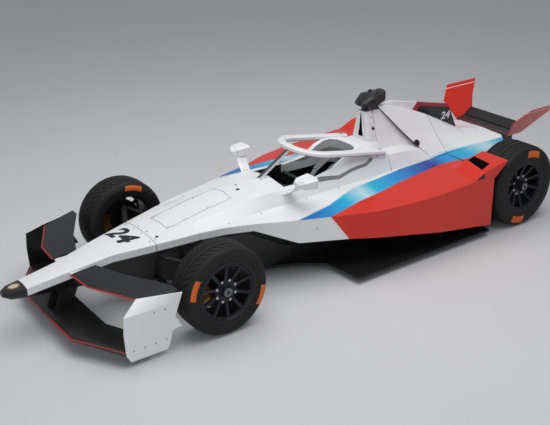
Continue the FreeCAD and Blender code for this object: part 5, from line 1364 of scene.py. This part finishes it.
class RACER_OT_wheels(bpy.types.Operator):
    """Makes the tyres with their tread, and finishes the rims with their bolts and nuts"""

    bl_idname = "racer.wheels"
    bl_label = "Wheels"

    # Angle of the first orange block on each tyre, in degrees.
    block_angles = {"front_left": 20, "front_right": 105, "rear_left": 103, "rear_right": 60}
    # A tyre's section. Sidewall: distances from the axle and gaps to the side. Shoulder: drops
    # from the largest radius and gaps to the side. The ribs and grooves beside the middle follow.
    sidewall = ((0.2286, 0.0120), (0.2360, 0.0075), (0.2430, 0.0068), (0.2500, 0.0040),
                (0.2600, 0.0014), (0.2700, 0.0004), (0.2840, 0.0002))
    shoulder = ((0.0300, 0.0060), (0.0210, 0.0095), (0.0140, 0.0160), (0.0085, 0.0250),
                (0.0042, 0.0380), (0.0018, 0.0560), (0.0, 0.0750))
    rib, groove, groove_taper = 0.022, 0.004, 0.001
    # The tread's V: its slant, the band's height, the blocks' edge and half of a cross groove.
    slant, tread_height, tread_edge, cross_half = 0.9, 0.0075, 0.030, 0.0030
    bolt_count, bolt_circle, valve_circle, valve_angle = 8, 0.079, 0.2025, 0.55

    def execute(self, context):
        rim = paint_metal("black rim", (0.018, 0.018, 0.02), rough=0.32, metallic=0.3)
        bolt = paint_metal("bright bolts", (0.72, 0.72, 0.73), rough=0.25)
        nut = paint_metal("wheel nut", (0.20, 0.20, 0.21), rough=0.28)
        for axle in ("front", "rear"):
            for side, sign in SIDES:
                wheel = "%s_%s" % (axle, side)
                node = "%s_tyre_%s" % (axle, side)
                rim_node = "%s_rim_%s" % (axle, side)
                low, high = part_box(node)
                centre, half = (low + high) / 2, (high - low) / 2
                first = self.block_angles[wheel]
                rubber = paint_tyre(node + " rubber", centre, half.z, (first, first + 180))
                self.tyre(node, centre, half.z, half.y, rubber, "wheel_" + wheel)
                skin_of(rim_node, rim, width=0.0015, angle=30.0)
                self.fittings(wheel, sign, centre, Surface(rim_node), bolt, nut)
        return {"FINISHED"}

    def section(self, radius, half, depth):
        """A tyre's outline as (distance from the axle, place across), closed on itself."""
        rib, groove, taper = self.rib, self.groove, self.groove_taper
        outline = [(reach, half - gap) for reach, gap in self.sidewall]
        outline += [(radius - drop, half - gap) for drop, gap in self.shoulder]
        outline += [(radius, rib + groove), (radius - depth, rib + groove - taper),
                    (radius - depth, rib - groove + taper), (radius, rib - groove)]
        outline += [(reach, -across) for reach, across in reversed(outline)]
        return outline + [outline[0]]

    def tyre(self, node, centre, radius, half, rubber, body):
        """Turns the section, leans the tread's rings into a V and sinks the cross grooves."""
        depth, steps = CAR.groove_depth, CAR.wheel_steps
        outer, inner = half - self.tread_edge, self.rib + self.groove + 0.0005
        form = bmesh.new()
        turned(form, self.section(radius, half, depth), centre, (0, 1, 0), steps)
        bmesh.ops.remove_doubles(form, verts=form.verts, dist=MERGE)

        def away(spot):
            """The way from the axle to a point, square to the axle."""
            return Vector((spot.x - centre.x, 0, spot.z - centre.z))

        def lean(across):
            return -self.slant * max(0.0, min(abs(across), outer + 0.002) - inner) / radius

        def tread(spot):
            return away(spot).length > radius - self.tread_height

        for vert in form.verts:
            if tread(vert.co):
                turn = Matrix.Rotation(lean(vert.co.y - centre.y), 3, "Y")
                vert.co = centre + turn @ (vert.co - centre)
        cross = []
        for edge in form.edges:
            first, last = [vert.co - centre for vert in edge.verts]
            in_band = inner < abs((first + last).y / 2) < outer
            on_tread = all(tread(vert.co) for vert in edge.verts)
            if not in_band or not on_tread or abs(first.y - last.y) < 0.004:
                continue
            angle = math.atan2(first.z, first.x) + lean(first.y)
            if round(angle / (FULL_TURN / steps)) % 3 == 0:
                cross.append(edge)
        made = round_edges(form, cross, self.cross_half, segments=1)
        floor = [face for face in made["faces"] if face.is_valid]
        sunk = bmesh.ops.extrude_face_region(form, geom=floor)["geom"]
        bmesh.ops.delete(form, geom=[face for face in floor if face.is_valid], context="FACES")
        for vert in [item for item in sunk if isinstance(item, bmesh.types.BMVert)]:
            vert.co -= away(vert.co).normalized() * depth
        for vert in form.verts:
            way = away(vert.co)
            vert.co -= way.normalized() * max(0.0, way.length - radius)
        piece = settle(finish_form(form, node + "_skin", FINE_MERGE), body, rubber,
                       angle=28.0)
        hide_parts(node)

    def fittings(self, wheel, sign, centre, surface, bolt, nut):
        """Bright bolts round the hub, the nut in the middle and the valve in the rim."""
        outward = Vector((0, sign, 0))

        def at(angle, reach):
            spot = centre + Vector((math.cos(angle), 0, math.sin(angle))) * reach
            return surface.hit(spot + outward * 0.3, -outward)[0]

        step = FULL_TURN / self.bolt_count
        items = [(WHEEL_BOLT, at(step * (index + 0.5), self.bolt_circle), outward, 14)
                 for index in range(self.bolt_count)]
        turned_pieces("wheel_bolts_" + wheel, items, "wheel_" + wheel, bolt)
        hub = at(0.0, 0.0)
        items = ((WHEEL_NUT, hub, outward, 12), (NUT_RING, hub, outward, 32),
                 (VALVE, at(self.valve_angle, self.valve_circle), outward, 12))
        turned_pieces("wheel_nut_" + wheel, items, "wheel_" + wheel, nut)


class RACER_OT_stage(bpy.types.Operator):
    """Makes the floor, the lamps and the camera"""

    bl_idname = "racer.stage"
    bl_label = "Stage"

    floor_size, sky_colour = 60.0, (0.94, 0.96, 1.0, 1.0)
    eye, target, roll = (4.2045, 5.5203, 3.3546), (0.3236, 0.0874, 0.4), 0.0135
    # Focal length and width of the photograph in pixels, and the width of the camera's sensor.
    focal, picture_width, sensor_width = 935.6, 550.0, 36.0

    def execute(self, context):
        scene = context.scene
        scene.view_settings.view_transform = "Standard"
        form = bmesh.new()
        bmesh.ops.create_grid(form, x_segments=1, y_segments=1, size=self.floor_size)
        floor = new_mesh("floor_plane", form)
        ground = Finish("pale floor", roughness=0.8)
        ground.set(base_color=ground.mix(ground.noise(0.8), (0.60, 0.60, 0.61), (0.64, 0.64, 0.65)))
        floor.data.materials.append(ground.material)

        world = bpy.data.worlds.new("soft room")
        scene.world = world
        world.use_nodes = True
        sky = world.node_tree.nodes["Background"]
        sky.inputs["Color"].default_value = self.sky_colour
        sky.inputs["Strength"].default_value = CAR.room_light

        for name, place, target, size, power in (
                ("lamp_overhead", (0.3, 0.6, 5.6), (0.0, 0.0, 0.3), 6.0, CAR.lamp_power),
                ("lamp_front", (6.0, 5.5, 3.2), (0.0, 0.0, 0.4), 4.0, CAR.front_power)):
            lamp = bpy.data.lights.new(name, "AREA")
            lamp.shape = "SQUARE"
            lamp.size = size
            lamp.energy = power
            self.stand(scene, name, lamp, place,
                       (Vector(target) - Vector(place)).to_track_quat("-Z", "Y"))

        camera = bpy.data.cameras.new("camera")
        camera.sensor_width = self.sensor_width
        camera.lens = self.focal / self.picture_width * self.sensor_width
        camera.clip_start = 0.1
        camera.clip_end = 200.0
        ahead = (Vector(self.target) - Vector(self.eye)).normalized()
        right = ahead.cross(Vector((0, 0, 1))).normalized()
        up = right.cross(ahead)
        tilted_right = right * math.cos(self.roll) - up * math.sin(self.roll)
        tilted_up = right * math.sin(self.roll) + up * math.cos(self.roll)
        turn = Matrix((tilted_right, tilted_up, -ahead)).transposed()
        scene.camera = self.stand(scene, "camera", camera, self.eye, turn.to_quaternion())
        return {"FINISHED"}

    def stand(self, scene, name, data, place, turn):
        """Puts a lamp or the camera in the scene."""
        holder = bpy.data.objects.new(name, data)
        holder.location = place
        holder.rotation_mode = "QUATERNION"
        holder.rotation_quaternion = turn
        scene.collection.objects.link(holder)
        return holder


class RACER_PT_panel(bpy.types.Panel):
    """Lists the car's settings and pieces in the sidebar"""

    bl_label = "Racing Car"
    bl_idname = "RACER_PT_panel"
    bl_space_type = "VIEW_3D"
    bl_region_type = "UI"
    bl_category = "Racing Car"

    def draw(self, context):
        scene = context.scene
        for group in (scene.racer_paint, scene.racer_pieces, scene.racer_stage):
            for name in type(group).__annotations__:
                self.layout.prop(group, name)
        for operator in OPERATORS:
            self.layout.operator(operator.bl_idname)


OPERATORS = (RACER_OT_body, RACER_OT_seams, RACER_OT_nose, RACER_OT_cockpit, RACER_OT_halo,
             RACER_OT_mirrors, RACER_OT_tail, RACER_OT_front_wing, RACER_OT_running_gear,
             RACER_OT_wheels, RACER_OT_stage)
GROUPS = (("racer_paint", PaintSettings), ("racer_pieces", PieceSettings),
          ("racer_stage", StageSettings))
CLASSES = tuple(group for name, group in GROUPS) + OPERATORS + (RACER_PT_panel,)


def register():
    for item in CLASSES:
        bpy.utils.register_class(item)
    for name, group in GROUPS:
        setattr(bpy.types.Scene, name, PointerProperty(type=group))


def unregister():
    for name, group in GROUPS:
        delattr(bpy.types.Scene, name)
    for item in reversed(CLASSES):
        bpy.utils.unregister_class(item)


def main():
    register()
    for name in ("Cube", "Light", "Camera"):
        if name in bpy.data.objects:
            bpy.data.objects.remove(bpy.data.objects[name])
    bpy.ops.racer.body()
    bpy.ops.racer.seams()
    bpy.ops.racer.nose()
    bpy.ops.racer.cockpit()
    bpy.ops.racer.halo()
    bpy.ops.racer.mirrors()
    bpy.ops.racer.tail()
    bpy.ops.racer.front_wing()
    bpy.ops.racer.running_gear()
    bpy.ops.racer.wheels()
    bpy.ops.racer.stage()


if __name__ == "__main__":
    main()
